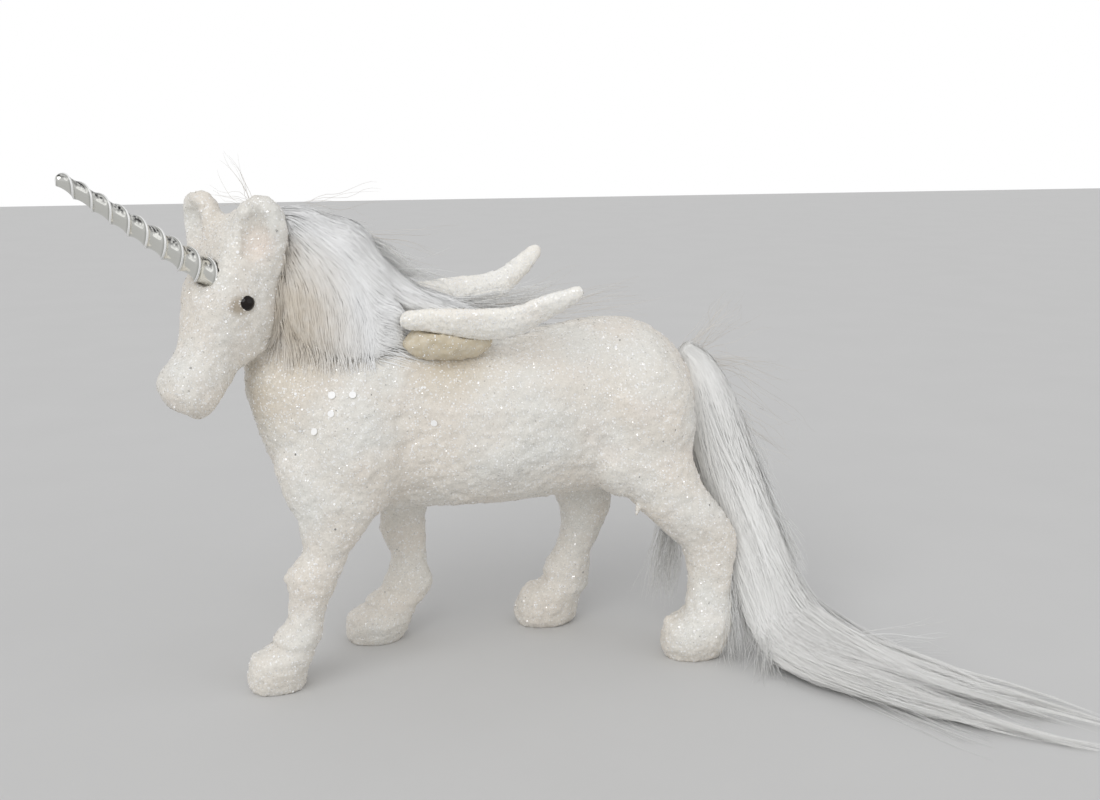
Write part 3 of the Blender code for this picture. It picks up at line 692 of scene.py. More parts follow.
@dataclass
class Coat:
    """The glitter-coated body with its flakes."""

    voxel_mm: float = 0.63
    passes: int = 5
    lid_inset: float = 1.0
    lid_radius: float = 2.36
    lumps: tuple[tuple[Point, Point], ...] = (
        ((37.1, -16.6, 40.9), (0.8, 0.8, 1.7)),
        ((-48.0, -12.4, 29.0), (1.3, 1.3, 1.2)),
        ((-57.8, -9.3, 98.4), (5.5, 5.5, 5.5)),
        ((47.1, -14.2, 9.8), (1.3, 1.6, 1.2)),
    )
    hollows: tuple[tuple[Point, Point, Point, float], ...] = (
        ((-61.0, -11.2, 101.0), (0.70, 0.43, -0.57), (4.2, 4.2, 4.2), 1.1),
        ((-51.8, -17.0, 111.0), (0.3, 1.0, 0.0), (2.2, 5.0, 4.2), 0.8),
        ((-67.0, -1.5, 112.5), (0.8, 0.6, 0.0), (2.6, 3.4, 4.2), 0.8),
        ((-53.0, -14.0, 11.6), (0.7, 0.7, 0.0), (4.5, 4.5, 1.3), 1.3),
        ((-56.0, -12.0, 8.6), (-0.7, -0.5, 0.5), (4.0, 4.5, 1.8), 0.6),
        ((-29.2, 12.5, 10.2), (0.8, 0.5, 0.0), (4.0, 5.0, 1.2), 1.5),
        ((-31.6, 12.5, 7.6), (-0.7, -0.4, 0.5), (3.5, 5.0, 1.7), 1.0),
        ((-22.6, 12.0, 30.7), (-0.9, -0.4, 0.0), (3.5, 5.0, 3.2), 0.9),
        ((-26.4, 12.5, 13.0), (-0.8, -0.3, 0.4), (3.0, 5.0, 1.7), 0.8),
        ((18.6, 14.0, 12.8), (1.0, 0.3, 0.0), (4.0, 5.0, 1.8), 1.2),
        ((16.4, 14.0, 8.6), (-0.8, -0.4, 0.4), (3.5, 5.0, 1.9), 0.8),
        ((33.3, 14.0, 11.2), (1.0, -0.2, 0.0), (2.5, 4.0, 2.0), 0.7),
        ((48.6, -16.8, 11.2), (0.7, 0.7, 0.0), (4.5, 4.5, 1.3), 0.8),
        ((46.8, -16.0, 8.2), (-0.8, -0.4, 0.3), (3.5, 4.0, 1.9), 0.6),
        ((-66.6, -8.5, 99.0), (0.73, 0.46, -0.51), (5.0, 5.0, 5.5), -1.2),
        ((-64.4, 2.6, 121.0), (0.0, 0.0, -1.0), (6.0, 6.0, 4.0), 0.8),
        ((-43.5, -11.0, 98.0), (0.2, 1.0, 0.0), (3.0, 5.0, 4.0), 0.9),
        ((-44.5, -11.0, 92.0), (0.2, 1.0, 0.0), (3.0, 5.0, 4.5), 1.0),
        ((-48.0, -11.0, 86.5), (0.3, 1.0, 0.0), (4.0, 5.0, 3.5), 0.9),
    )
    patches: tuple[Patch, ...] = (
        ((-55.4, -15.4, 95.4), 3.4, 0.75, Tint.BROWN),
        # Painted shade on the neck behind the jaw.
        ((-44.5, -9.0, 94.0), 9.0, 0.60, Tint.BROWN),
        # Painted shade, warm, on the neck where the mane ends.
        ((-40.0, -13.0, 84.0), 12.0, 0.65, Tint.SAND),
        ((-52.0, -9.0, 72.0), 14.0, 0.60, Tint.SAND),
        # Painted shade on the neck behind the lower jaw.
        ((-45.5, -11.0, 88.0), 7.0, 0.55, Tint.BROWN),
        ((-56.2, -17.4, 95.2), 2.6, 0.85, Tint.BROWN),
        ((-50.8, -14.0, 108.5), 5.0, 0.60, Tint.ROSE),
        # Glue tint on the coat round the near wing's glue, together with painted shade under the wing.
        ((-9.0, -15.0, 82.0), 13.0, 0.50, Tint.OCHRE),
        # Painted shade in the elbow gap.
        ((-17.0, -16.0, 46.0), 8.0, 0.45, Tint.BROWN),
        ((-46.0, -14.0, 62.0), 12.0, 0.40, Tint.COOL),
        ((8.0, -19.0, 64.0), 17.0, 0.45, Tint.COOL),
        ((44.0, -14.0, 78.0), 14.0, 0.40, Tint.COOL),
        # Glue tint on the coat round the far wing's glue, together with painted shade under the wing.
        ((-10.0, 16.0, 84.0), 12.0, 0.45, Tint.OCHRE),
    )
    sequins: tuple[Point, ...] = (
        (-37.5, -19.0, 75.2),
        (-31.4, -19.0, 74.9),
        (-37.0, -19.0, 70.3),
        (-41.2, -18.0, 65.8),
        (-13.2, -19.0, 66.1),
        (-61.8, -14.0, 97.1),
    )

    def build(self) -> bpy.types.Object:
        """Form the coated body and lay its glitter.

        Returns:
            The coated body.
        """
        bm = merged_copy("body")
        for centre, radii in self.lumps:
            size = Matrix.Diagonal((*(radius * MM for radius in radii), 1.0))
            matrix = Matrix.Translation(placed(centre)) @ size
            bmesh.ops.create_icosphere(bm, subdivisions=3, radius=1.0, matrix=matrix)
        eyes = [sum(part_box(f"eye_{side}"), Vector()) / 2.0 for side in ("left", "right")]
        for eye, other in (eyes, eyes[::-1]):
            inset = eye + (other - eye).normalized() * (self.lid_inset * MM)
            add_ball(bm, inset, self.lid_radius, 4)
        skin = fused("coated_body", bm, self.voxel_mm, self.passes)
        for centre, way, radii, depth in self.hollows:
            press(skin, centre, way, radii, depth)
        roughen(skin, ((5.0, 0.32), (2.2, 0.30), (1.1, 0.26)), 0.1, True)
        material = GlitterCoat("glitter_coat", patches=self.patches).material()
        dress(skin, material, Slot.COAT, "body")
        pale = ShadedFinish("pale_glitter", (0.88, 0.87, 0.85, 1.0), (0.99, 0.99, 0.98, 1.0), 0.15, 0.35)
        warm = ShadedFinish("warm_glitter", (0.74, 0.68, 0.60, 1.0), (0.86, 0.82, 0.76, 1.0), 0.3, 0.25)
        dark = ShadedFinish("dark_flecks", (0.20, 0.19, 0.18, 1.0), (0.50, 0.49, 0.47, 1.0), 0.35, 0.3)
        film = ShadedFinish("sequin_film", (0.94, 0.94, 0.93, 1.0), (1.0, 1.0, 1.0, 1.0), 0.5)
        bright = film.material()
        layers = (
            (FlakeScatter("fine_glitter", 9000, (0.13, 0.24), 0.35, 0.04, 3), pale.material()),
            (FlakeScatter("warm_glitter_flakes", 1400, (0.13, 0.24), 0.35, 0.04, 5), warm.material()),
            (FlakeScatter("dark_fleck_flakes", 60, (0.14, 0.32), 0.3, 0.06, 9), dark.material()),
            (FlakeScatter("white_grains", 2600, (0.12, 0.26), 0.3, 0.1, 15), bright),
            (FlakeScatter("loose_sequins", 200, (0.24, 0.42), 0.22, 0.14, 11), bright),
            (FlakeScatter("large_sequins", 6, (0.7, 0.9), 0.05, 0.3, 13, self.sequins, 14), bright),
        )
        for layer, finish in layers:
            dress(layer.scatter(skin), finish, Slot.COAT)
        return skin


@dataclass
class Wings:
    """The two coated wing blades and the glue that holds them."""

    voxel_mm: float = 0.36
    glue_voxel_mm: float = 0.4

    def build(self) -> None:
        """Form both wings and both beads of glue."""
        coat = GlitterCoat("wing_glitter_coat", (0.92, 0.89, 0.82, 1.0), (0.93, 0.92, 0.88, 1.0)).material()
        film = ShadedFinish("wing_glitter", (0.90, 0.89, 0.86, 1.0), (1.0, 1.0, 0.99, 1.0), 0.3, 0.15)
        flakes = film.material()
        glue = HotGlue().material()
        for seed, side in enumerate(("left", "right")):
            blade = fused(f"wing_blade_{side}", merged_copy(f"wing_{side}"), self.voxel_mm, 5)
            roughen(blade, ((3.0, 0.25), (1.2, 0.16), (0.6, 0.1)), 0.06)
            dress(blade, coat, Slot.WING, f"wing_{side}")
            glitter = FlakeScatter(f"wing_glitter_{side}", 1100, (0.13, 0.26), 0.2, 0.07, 21 + seed)
            dress(glitter.scatter(blade), flakes, Slot.WING)
            bead = fused(f"glue_bead_{side}", merged_copy(f"wing_glue_{side}"), self.glue_voxel_mm, 6)
            roughen(bead, ((3.0, 0.6), (1.2, 0.25)), 0.05)
            dress(bead, glue, Slot.GLUE, f"wing_glue_{side}")
            glitter = FlakeScatter(f"glue_glitter_{side}", 240, (0.1, 0.2), 0.2, 0.05, 25 + seed)
            dress(glitter.scatter(bead), flakes, Slot.GLUE)


@dataclass
class Horn:
    """Two raised edges wound right-handed round a tapering core."""

    base: Point = (-60.5, -10.9, 100.6)
    tip: Point = (-90.5, -29.3, 124.9)
    sunk: float = 2.4
    base_radius: float = 3.7
    tip_radius: float = 1.75
    lead: float = 9.4
    core: float = 0.74
    rings: int = 250
    rounded: float = 0.96
    bead_width: float = 0.27
    bead_height: float = 0.08
    flank: float = 0.92
    segments: int = 36

    def section(self, angle: float) -> tuple[float, float]:
        """Radius share, and the crest value that places the painted highlight, at an angle round the core."""
        side = abs(math.sin(angle))
        bead = math.exp(-((side / self.bead_width) ** 2))
        share = self.flank - (self.flank - self.core) * side**0.8 + self.bead_height * bead
        return share, max(bead, 0.62 - 0.62 * side)

    def build(self) -> bpy.types.Object:
        """Wind the horn.

        Returns:
            The finished horn.
        """
        base = placed(self.base)
        tip = placed(self.tip)
        axis = (tip - base).normalized()
        start = base - axis * (self.sunk * MM)
        length = (tip - start).length
        side = axis.cross(Vector((0.0, 0.0, 1.0))).normalized()
        up = side.cross(axis).normalized()

        def put(vert: bmesh.types.BMVert, index: int, angle: float, crest: Any, shadow: Any) -> None:
            """Place one corner of one ring."""
            share = index / self.rings
            radius = self.base_radius + (self.tip_radius - self.base_radius) * share
            if share > self.rounded:
                radius *= math.sqrt(max(1.0 - ((share - self.rounded) / (1.0 - self.rounded)) ** 2, 0.02))
            size, value = self.section(angle)
            turned = angle - math.tau * share * length / (self.lead * MM)
            out = side * math.cos(turned) + up * math.sin(turned)
            vert.co = start + axis * (length * share) + out * (radius * size * MM)
            # The crest value places the painted highlight on each edge; the shadow value places painted dark
            # reflections on the flanks that face upwards.
            hollow = min(max((abs(math.sin(angle)) - 0.35) / 0.25, 0.0), 1.0)
            vert[crest] = value
            vert[shadow] = hollow * min(max((out.z - 0.05) / 0.5, 0.0), 1.0)

        horn = lofted("twisted_horn", self.rings, self.segments, ("crest", "shadow"), put)
        return dress(horn, TwistedSilver().material(), Slot.HORN, "horn")


@dataclass
class Eyes:
    """The two bead eyes."""

    radius: float = 2.0

    def build(self) -> None:
        """Set a smooth bead at each eye's place."""
        gloss = BlackBead().material()
        for side in ("left", "right"):
            low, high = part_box(f"eye_{side}")
            bm = bmesh.new()
            matrix = Matrix.Translation((low + high) / 2.0)
            ball = {"u_segments": 40, "v_segments": 24, "radius": self.radius * MM}
            bmesh.ops.create_uvsphere(bm, matrix=matrix, **ball)
            dress(settled(f"bead_eye_{side}", bm), gloss, Slot.EYE, f"eye_{side}")


@dataclass
class Strands:
    """Many strands of fur, drawn as a few large pieces."""

    name: str
    paths: list[np.ndarray] = field(default_factory=list)
    outward: list[np.ndarray | None] = field(default_factory=list)
    widths: list[float] = field(default_factory=list)
    shades: list[float] = field(default_factory=list)
    largest: int = 6500

    def add(
        self, points: np.ndarray, width_mm: float, shade: float, outward: np.ndarray | None = None
    ) -> None:
        """Add one strand.

        Args:
            points: its path in the figure's own frame, in millimetres.
            width_mm: its greatest width.
            shade: its shade from 0 to 1.
            outward: the way that it faces at each point, where it is flat.
        """
        self.paths.append(points)
        self.widths.append(width_mm)
        self.shades.append(shade)
        self.outward.append(outward)

    def drawn(self, part: range) -> tuple[bpy.types.Mesh, list[int]]:
        """Draw some of the strands.

        Args:
            part: which strands.

        Returns:
            Their mesh, and how many corners each of them has.
        """
        raise NotImplementedError

    def build(self, material: bpy.types.Material) -> None:
        """Draw all the strands.

        Args:
            material: their finish.
        """
        for start in range(0, len(self.paths), self.largest):
            part = range(start, min(start + self.largest, len(self.paths)))
            mesh, counts = self.drawn(part)
            keep_shades(mesh, np.repeat([self.shades[index] for index in part], counts))
            mesh.shade_smooth()
            dress(link(f"{self.name}_{start // self.largest}", mesh), material, Slot.FUR)


@dataclass
class Hairs(Strands):
    """Single hairs, each a thin tube with three sides."""

    largest: int = 2600
    thin: tuple[float, float] = (0.11, 0.18)
    sides: int = 3

    def profile(self) -> bpy.types.Object:
        """Make the outline that each tube follows, 1 across."""
        outline = bpy.data.curves.new("strand_outline", "CURVE")
        outline.dimensions = "2D"
        ring = outline.splines.new("POLY")
        ring.points.add(self.sides - 1)
        for index in range(self.sides):
            angle = math.tau * index / self.sides
            ring.points[index].co = (0.5 * math.cos(angle), 0.5 * math.sin(angle), 0.0, 1.0)
        ring.use_cyclic_u = True
        item = bpy.data.objects.new("strand_outline", outline)
        bpy.context.scene.collection.objects.link(item)
        return item

    def drawn(self, part: range) -> tuple[bpy.types.Mesh, list[int]]:
        """Draw some of the hairs as tubes.

        Args:
            part: which hairs.

        Returns:
            Their mesh, and how many corners each of them has.
        """
        profile = self.profile()
        curve = bpy.data.curves.new(self.name, "CURVE")
        curve.dimensions = "3D"
        curve.bevel_mode = "OBJECT"
        curve.bevel_object = profile
        curve.use_fill_caps = True
        for index in part:
            points = (self.paths[index] + FIGURE_SHIFT) * MM
            number = len(points)
            spline = curve.splines.new("POLY")
            spline.points.add(number - 1)
            spline.points.foreach_set("co", np.column_stack((points, np.ones(number))).ravel())
            along = np.linspace(0.0, 1.0, number)
            taper = np.minimum(1.0, 0.45 + 4.0 * along) * (1.0 - 0.72 * along**2.5)
            spline.points.foreach_set("radius", taper * self.widths[index] * MM)
        holder = bpy.data.objects.new(self.name, curve)
        bpy.context.scene.collection.objects.link(holder)
        mesh = evaluated_mesh(holder)
        bm = bmesh.new()
        bm.from_mesh(mesh)
        bmesh.ops.remove_doubles(bm, verts=bm.verts, dist=1e-8)
        bm.to_mesh(mesh)
        bm.free()
        for item in (holder, profile):
            data = item.data
            bpy.data.objects.remove(item)
            bpy.data.curves.remove(data)
        return mesh, [len(self.paths[index]) * self.sides for index in part]


@dataclass
class Locks(Strands):
    """Flat locks of fine hair, each a narrow strip that lies on the surface below it."""

    def strip(self, number: int) -> tuple[np.ndarray, np.ndarray]:
        """Make the flat strip that every lock of one length repeats.

        Args:
            number: points along the strip.

        Returns:
            Its corners and its four-cornered faces.
        """
        bm = bmesh.new()
        bmesh.ops.create_grid(bm, x_segments=1, y_segments=number - 1, size=1.0)
        corners = np.array([tuple(vert.co) for vert in bm.verts])
        faces = np.array([[vert.index for vert in face.verts] for face in bm.faces])
        bm.free()
        return corners, faces

    def shaped(self, index: int, corners: np.ndarray) -> np.ndarray:
        """Lay one strip along its path.

        Args:
            index: the lock.
            corners: corners of the flat strip.

        Returns:
            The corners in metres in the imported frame.
        """
        path = self.paths[index]
        number = len(path)
        side = np.cross(np.gradient(path, axis=0), self.outward[index])
        side /= np.maximum(np.linalg.norm(side, axis=1), 1e-9)[:, None]
        row = np.rint((corners[:, 1] + 1.0) / 2.0 * (number - 1)).astype(int)
        along = row / (number - 1)
        taper = np.minimum(1.0, 0.3 + 5.0 * along) * (1.0 - 0.8 * along**2.2)
        half = 0.5 * self.widths[index] * taper
        points = path[row] + side[row] * (corners[:, 0] * half)[:, None]
        points[:, 2] = np.maximum(points[:, 2], 0.1)
        return (points + FIGURE_SHIFT) * MM

    def drawn(self, part: range) -> tuple[bpy.types.Mesh, list[int]]:
        """Draw some of the locks as strips.

        Args:
            part: which locks.

        Returns:
            Their mesh, and how many corners each of them has.
        """
        kinds = {number: self.strip(number) for number in {len(path) for path in self.paths}}
        points = []
        loops = []
        counts = []
        base = 0
        for index in part:
            corners, faces = kinds[len(self.paths[index])]
            points.append(self.shaped(index, corners))
            loops.append(faces + base)
            counts.append(len(corners))
            base += len(corners)
        mesh = bpy.data.meshes.new(self.name)
        mesh.from_pydata(np.concatenate(points).tolist(), [], np.concatenate(loops).tolist())
        return mesh, counts


def faces_of(mesh: bpy.types.Mesh, base: int = 0) -> list[tuple[int, ...]]:
    """List the corners of each face, their numbers starting at base."""
    return [tuple(corner + base for corner in face.vertices) for face in mesh.polygons]


def unit(rows: np.ndarray) -> np.ndarray:
    """Give every row of a table the length 1."""
    return rows / np.linalg.norm(rows, axis=1)[:, None]


def through(rows: np.ndarray, place: np.ndarray) -> np.ndarray:
    """Read a Catmull-Rom curve through the rows of a table.

    Args:
        rows: the table.
        place: where to read it, in rows.

    Returns:
        One row of values for each place.
    """
    last = len(rows) - 1
    place = np.clip(place, 0.0, last - 1e-6)
    index = place.astype(int)
    t = (place - index)[:, None]
    p0 = rows[np.maximum(index - 1, 0)]
    p1 = rows[index]
    p2 = rows[index + 1]
    p3 = rows[np.minimum(index + 2, last)]
    linear = (p2 - p0) * t
    square = (2.0 * p0 - 5.0 * p1 + 4.0 * p2 - p3) * t**2
    cube = (3.0 * p1 - p0 - 3.0 * p2 + p3) * t**3
    return 0.5 * (2.0 * p1 + linear + square + cube)


@dataclass
class Tail:
    """The fur tail: it falls from the dock and trails over the table.

    Each row of the path has a place, the half width, the half thickness, and the way that the width lies.
    """

    count: int = 9500
    points: int = 14
    locks: int = 120
    widths: tuple[float, float] = (0.12, 0.24)
    seed: int = 17
    low_share: float = 0.16
    short_share: float = 0.22
    gather: float = 0.86
    core_start: float = 0.15
    core_rows: float = 8.3
    stations: int = 30
    path: tuple[tuple[float, ...], ...] = (
        (53.4, 0.0, 77.8, 3.0, 3.0, 0.72, 0.0, 0.69),
        (57.0, -0.4, 74.0, 4.6, 4.6, 0.80, 0.0, 0.60),
        (60.4, -1.4, 64.5, 6.7, 5.8, 0.94, 0.0, 0.34),
        (63.8, -3.2, 52.5, 7.5, 6.2, 0.95, 0.0, 0.30),
        (67.8, -6.0, 40.5, 7.7, 6.4, 0.96, 0.0, 0.28),
        (71.2, -9.4, 28.5, 8.0, 6.4, 0.96, 0.1, 0.26),
        (74.2, -14.0, 16.5, 9.4, 6.2, 0.90, 0.3, 0.30),
        (77.8, -19.6, 7.8, 11.8, 5.0, 0.80, 0.5, 0.32),
        (84.5, -30.0, 4.4, 14.2, 3.4, 0.75, 0.65, 0.14),
        (94.5, -41.8, 2.8, 15.0, 2.2, 0.72, 0.69, 0.05),
        (104.2, -52.6, 1.8, 14.6, 1.4, 0.71, 0.70, 0.02),
        (113.6, -63.0, 1.3, 13.6, 1.0, 0.71, 0.70, 0.0),
        (121.4, -71.6, 1.0, 12.0, 0.8, 0.71, 0.70, 0.0),
        (129.0, -79.0, 0.8, 10.0, 0.6, 0.71, 0.70, 0.0),
    )

    def surface(
        self, place: np.ndarray, angle: np.ndarray, share: np.ndarray
    ) -> tuple[np.ndarray, np.ndarray]:
        """Points of the bundle.

        Args:
            place: distance along the path, in rows.
            angle: direction round the path.
            share: distance out from the path, 1 at the outer strands.

        Returns:
            The points in the figure's own frame and the outward directions there.
        """
        rows = through(np.array(self.path), place)
        ahead = through(np.array(self.path), place + 0.05)
        run = ahead[:, :3] - rows[:, :3]
        run[np.linalg.norm(run, axis=1) < 1e-9] = (0.7, -0.7, 0.0)
        run = unit(run)
        across = rows[:, 5:8]
        across = unit(across - run * (across * run).sum(1)[:, None])
        out = np.cross(run, across)
        wide = (rows[:, 3] * np.cos(angle) * share)[:, None] * across
        thick = (rows[:, 4] * np.sin(angle) * share)[:, None] * out
        facing = (np.cos(angle) / rows[:, 3])[:, None] * across
        facing += (np.sin(angle) / rows[:, 4])[:, None] * out
        return rows[:, :3] + wide + thick, unit(facing)

    def core(self) -> bpy.types.Object:
        """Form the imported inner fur, which thins out where the tail lies on the table."""

        def put(vert: bmesh.types.BMVert, index: int, angle: float) -> None:
            """Place one corner of one ring."""
            place = self.core_start + self.core_rows * index / self.stations
            thin = 0.9 - 0.62 * max(0.0, (place - 6.2) / 2.3)
            wave = 0.05 * math.sin(9.0 * angle + 1.4 * place) + 0.03 * math.sin(17.0 * angle - 2.0 * place)
            points, _ = self.surface(np.array([place]), np.array([angle]), np.array([thin * (1.0 + wave)]))
            vert.co = placed(points[0])

        core = lofted("tail_core", self.stations, 40, (), put)
        return dress(core, FurBed("tail_fur_bed").material(), Slot.FUR, "tail")

    def strands(self) -> Locks:
        """Lay the hair in locks that draw together towards their ends."""
        rng = np.random.default_rng(self.seed)
        bundle = Locks("tail_hair")
        locks = self.locks
        lock_angle = rng.uniform(0.0, math.tau, locks)
        low = rng.random(locks) < self.low_share
        lock_angle[low] = rng.uniform(0.6 * math.pi, 1.4 * math.pi, int(low.sum()))
        lock_share = np.sqrt(rng.uniform(0.42, 1.0, locks))
        lock_wave = rng.uniform(0.0, math.tau, (locks, 3))
        lock_end = 7.8 + 4.7 * rng.random(locks) ** 2.2
        lock_shade = rng.normal(0.0, 0.06, locks)
        for _ in range(self.count):
            lock = int(rng.integers(locks))
            start = rng.uniform(0.0, 0.7)
            end = lock_end[lock] + rng.normal(0.0, 0.5)
            if rng.random() < self.short_share:
                end = rng.uniform(5.0, 9.0)
            end = float(np.clip(end, 4.0, 13.0))
            along = np.linspace(0.0, 1.0, self.points)
            place = start + (end - start) * along
            gather = 1.0 - self.gather * along**1.3
            angle = lock_angle[lock] + rng.normal(0.0, 0.26) * gather
            angle = angle + 0.16 * np.sin(place * 1.1 + lock_wave[lock, 0])
            share = lock_share[lock] + rng.normal(0.0, 0.09) * gather
            share = share + 0.07 * np.sin(place * 1.7 + lock_wave[lock, 1])
            share = share + 0.03 * np.sin(place * 4.0 + lock_wave[lock, 2])
            share = np.clip(share, 0.05, 1.08)
            points, facing = self.surface(place, angle, share)
            points = points + rng.normal(0.0, 0.12, points.shape) * along[:, None]
            points[:, 2] = np.maximum(points[:, 2], rng.uniform(0.15, 0.9))
            facing = facing + rng.normal(0.0, 0.06, 3)
            flat = np.clip((place - 6.5) / 2.5, 0.0, 1.0)[:, None]
            upward = np.array([0.0, -0.2, 1.0]) + rng.normal(0.0, 0.1, 3)
            facing = unit(facing * (1.0 - flat) + upward * flat)
            shade = float(np.clip(0.55 + lock_shade[lock] + rng.normal(0.0, 0.11), 0.0, 1.0))
            bundle.add(points, rng.uniform(*self.widths), shade, facing)
        return bundle

    def build(self) -> None:
        """Build the core and the hair."""
        self.core()
        finish = fur("tail_fur", (0.82, 0.815, 0.80, 1.0), (0.93, 0.93, 0.91, 1.0))
        self.strands().build(finish.material())


@dataclass
class Mane:
    """The fur mane: fine hair laid over its bed, back along the crest and down over the neck."""

    count: int = 15000
    points: int = 10
    widths: tuple[float, float] = (0.14, 0.28)
    seed: int = 31
    hem_mm: float = 82.0
    hem_spread_mm: float = 11.0
    hem_below_mm: float = 3.5
    crest_mm: float = 116.0
    crest_start: float = -48.0
    withers: float = -26.0
    drop_mm: float = 16.0
    edge_mm: float = 2.6
    edge_share: float = 1.6
    edge_box: tuple[Point, Point] = ((-49.5, -20.0, 86.0), (-20.0, 20.0, 117.0))
    step_mm: float = 1.9
    voxel_mm: float = 0.5
    passes: int = 14
    fall_mm: float = 0.65
    fill: tuple[tuple[float, float, float, float], ...] = (
        (-44.0, -8.0, 112.0, 2.8),
        (-44.4, -8.6, 108.5, 2.8),
        (-44.8, -8.9, 105.0, 2.7),
        (-45.4, -8.8, 101.5, 2.6),
        (-45.9, -8.9, 98.0, 2.5),
        (-46.0, -8.8, 94.5, 2.5),
        (-45.8, -8.6, 91.0, 2.4),
        (-45.2, -8.8, 88.0, 2.2),
        (-21.8, -10.2, 91.0, 3.4),
        (-19.0, 0.5, 93.6, 4.4),
        (-15.0, 0.5, 92.4, 4.3),
        (-11.0, 0.5, 91.0, 4.1),
        (-7.0, 0.5, 89.8, 3.8),
        (-3.0, 0.5, 88.8, 3.4),
    )
    # Painted shade: warm sand patches on the mane's near side, in the shade between the cheek and the neck,
    # laid on the bed and the hair alike.
    patches: tuple[Patch, ...] = (
        ((-46.5, -13.0, 96.0), 17.0, 0.62, Tint.SAND),
        ((-44.0, -14.0, 84.0), 17.0, 0.60, Tint.SAND),
        ((-46.5, -12.0, 106.0), 6.0, 0.50, Tint.SAND),
    )

    def heading(self, point: np.ndarray) -> np.ndarray:
        """Way that the hair lies at a point of the figure's own frame.

        Args:
            point: the point in millimetres.

        Returns:
            A direction, back along the crest at the top and down over the neck below.
        """
        crest = self.crest_mm - 0.42 * max(0.0, point[0] - self.crest_start)
        drop = min(max((crest - point[2]) / self.drop_mm, 0.0), 1.0)
        back = np.array([0.82, 0.0, -0.52])
        down = np.array([0.30 - 0.2 * drop, 0.02 * np.sign(point[1]), -0.95])
        if point[0] > self.withers:
            down = np.array([0.94, 0.0, -0.30])
        way = back * (1.0 - drop) + down * drop
        return way / np.linalg.norm(way)

    def beside(self, bed: bpy.types.Object, skin: bpy.types.Object) -> np.ndarray:
        """Find the places on the coat that the mane's own edge hides.

        Args:
            bed: the bed of the mane.
            skin: the coated body.

        Returns:
            Middles of the coat's faces close to the bed, in metres.
        """
        tree = BVHTree.FromPolygons([vert.co for vert in bed.data.vertices], faces_of(bed.data))
        low, high = (np.array(placed(corner)) for corner in self.edge_box)
        found = []
        for face in skin.data.polygons:
            middle = np.array(face.center)
            if (middle > low).all() and (middle < high).all():
                _, _, _, away = tree.find_nearest(face.center)
                if away < self.edge_mm * MM:
                    found.append(middle)
        return np.array(found)

    def bridged(self, points: np.ndarray, outward: np.ndarray) -> np.ndarray:
        """Draw a traced lock straight over the small dips below it.

        Args:
            points: the traced path.
            outward: the way out from the surface at each point.

        Returns:
            The eased path, nowhere below the traced one.
        """
        eased = points.copy()
        for _ in range(4):
            eased[1:-1] = 0.5 * eased[1:-1] + 0.25 * (eased[:-2] + eased[2:])
        under = ((eased - points) * outward).sum(1)
        return eased + outward * np.maximum(-under, 0.0)[:, None]

    def strands(self, bed: bpy.types.Object, skin: bpy.types.Object) -> Locks:
        """Trace hair over the bed and on over the coat below it.

        Args:
            bed: the bed of the mane.
            skin: the coated body.

        Returns:
            The locks of hair.
        """
        rng = np.random.default_rng(self.seed)
        bundle = Locks("mane_hair")
        mesh = bed.data
        corners = [vert.co for vert in mesh.vertices] + [vert.co for vert in skin.data.vertices]
        faces = faces_of(mesh) + faces_of(skin.data, len(mesh.vertices))
        tree = BVHTree.FromPolygons(corners, faces)
        centres = np.array([tuple(face.center) for face in mesh.polygons])
        areas = np.array([face.area for face in mesh.polygons])
        edge = self.beside(bed, skin)
        centres = np.concatenate((centres, edge))
        areas = np.concatenate((areas, np.full(len(edge), self.edge_share * areas.mean())))
        chosen = rng.choice(len(centres), self.count, p=areas / areas.sum())
        for index in chosen:
            place = Vector(centres[index])
            lift = rng.uniform(0.08, 0.4)
            sway = rng.normal(0.0, 0.08, 3)
            number = int(rng.integers(6, self.points + 1))
            hem = self.hem_mm + self.hem_spread_mm * rng.random() ** 1.3 - self.hem_below_mm
            path = []
            outward = []
            for step in range(number):
                spot, normal, _, _ = tree.find_nearest(place)
                height = lift * (1.0 - 0.85 * step / number)
                if step:
                    height = max(height, (place - spot).dot(normal) / MM - self.fall_mm)
                    facing = (facing + normal).normalized()
                else:
                    facing = normal
                raised = spot + normal * (height * MM)
                path.append(np.array(raised) / MM - FIGURE_SHIFT)
                outward.append(np.array(facing))
                if path[-1][2] < hem:
                    break
                way = Vector(self.heading(path[-1]) + sway)
                way = (way - facing * way.dot(facing)).normalized()
                place = raised + way * (self.step_mm * MM)
            if len(path) < 3:
                continue
            points = self.bridged(np.array(path), np.array(outward))
            cloud = noise.noise(Vector(points[0]) * 0.35) * 0.25
            shade = float(np.clip(0.6 + cloud + rng.normal(0.0, 0.09), 0.0, 1.0))
            facing = np.array(outward) + rng.normal(0.0, 0.05, 3)
            bundle.add(points, rng.uniform(*self.widths), shade, facing)
        return bundle

    def build(self, skin: bpy.types.Object) -> None:
        """Build the bed of the mane and its hair.

        Args:
            skin: the coated body, which the ends of the hair lie on.
        """
        bm = merged_copy("mane")
        for *centre, radius in self.fill:
            add_ball(bm, placed(centre), radius)
        bed = fused("mane_bed", bm, self.voxel_mm, self.passes)
        roughen(bed, ((2.5, 0.25), (1.0, 0.12)), -0.1)
        dress(bed, FurBed("mane_fur_bed", self.patches).material(), Slot.FUR, "mane")
        finish = fur("mane_fur", (0.85, 0.85, 0.84, 1.0), (0.95, 0.955, 0.955, 1.0), self.patches)
        self.strands(bed, skin).build(finish.material())


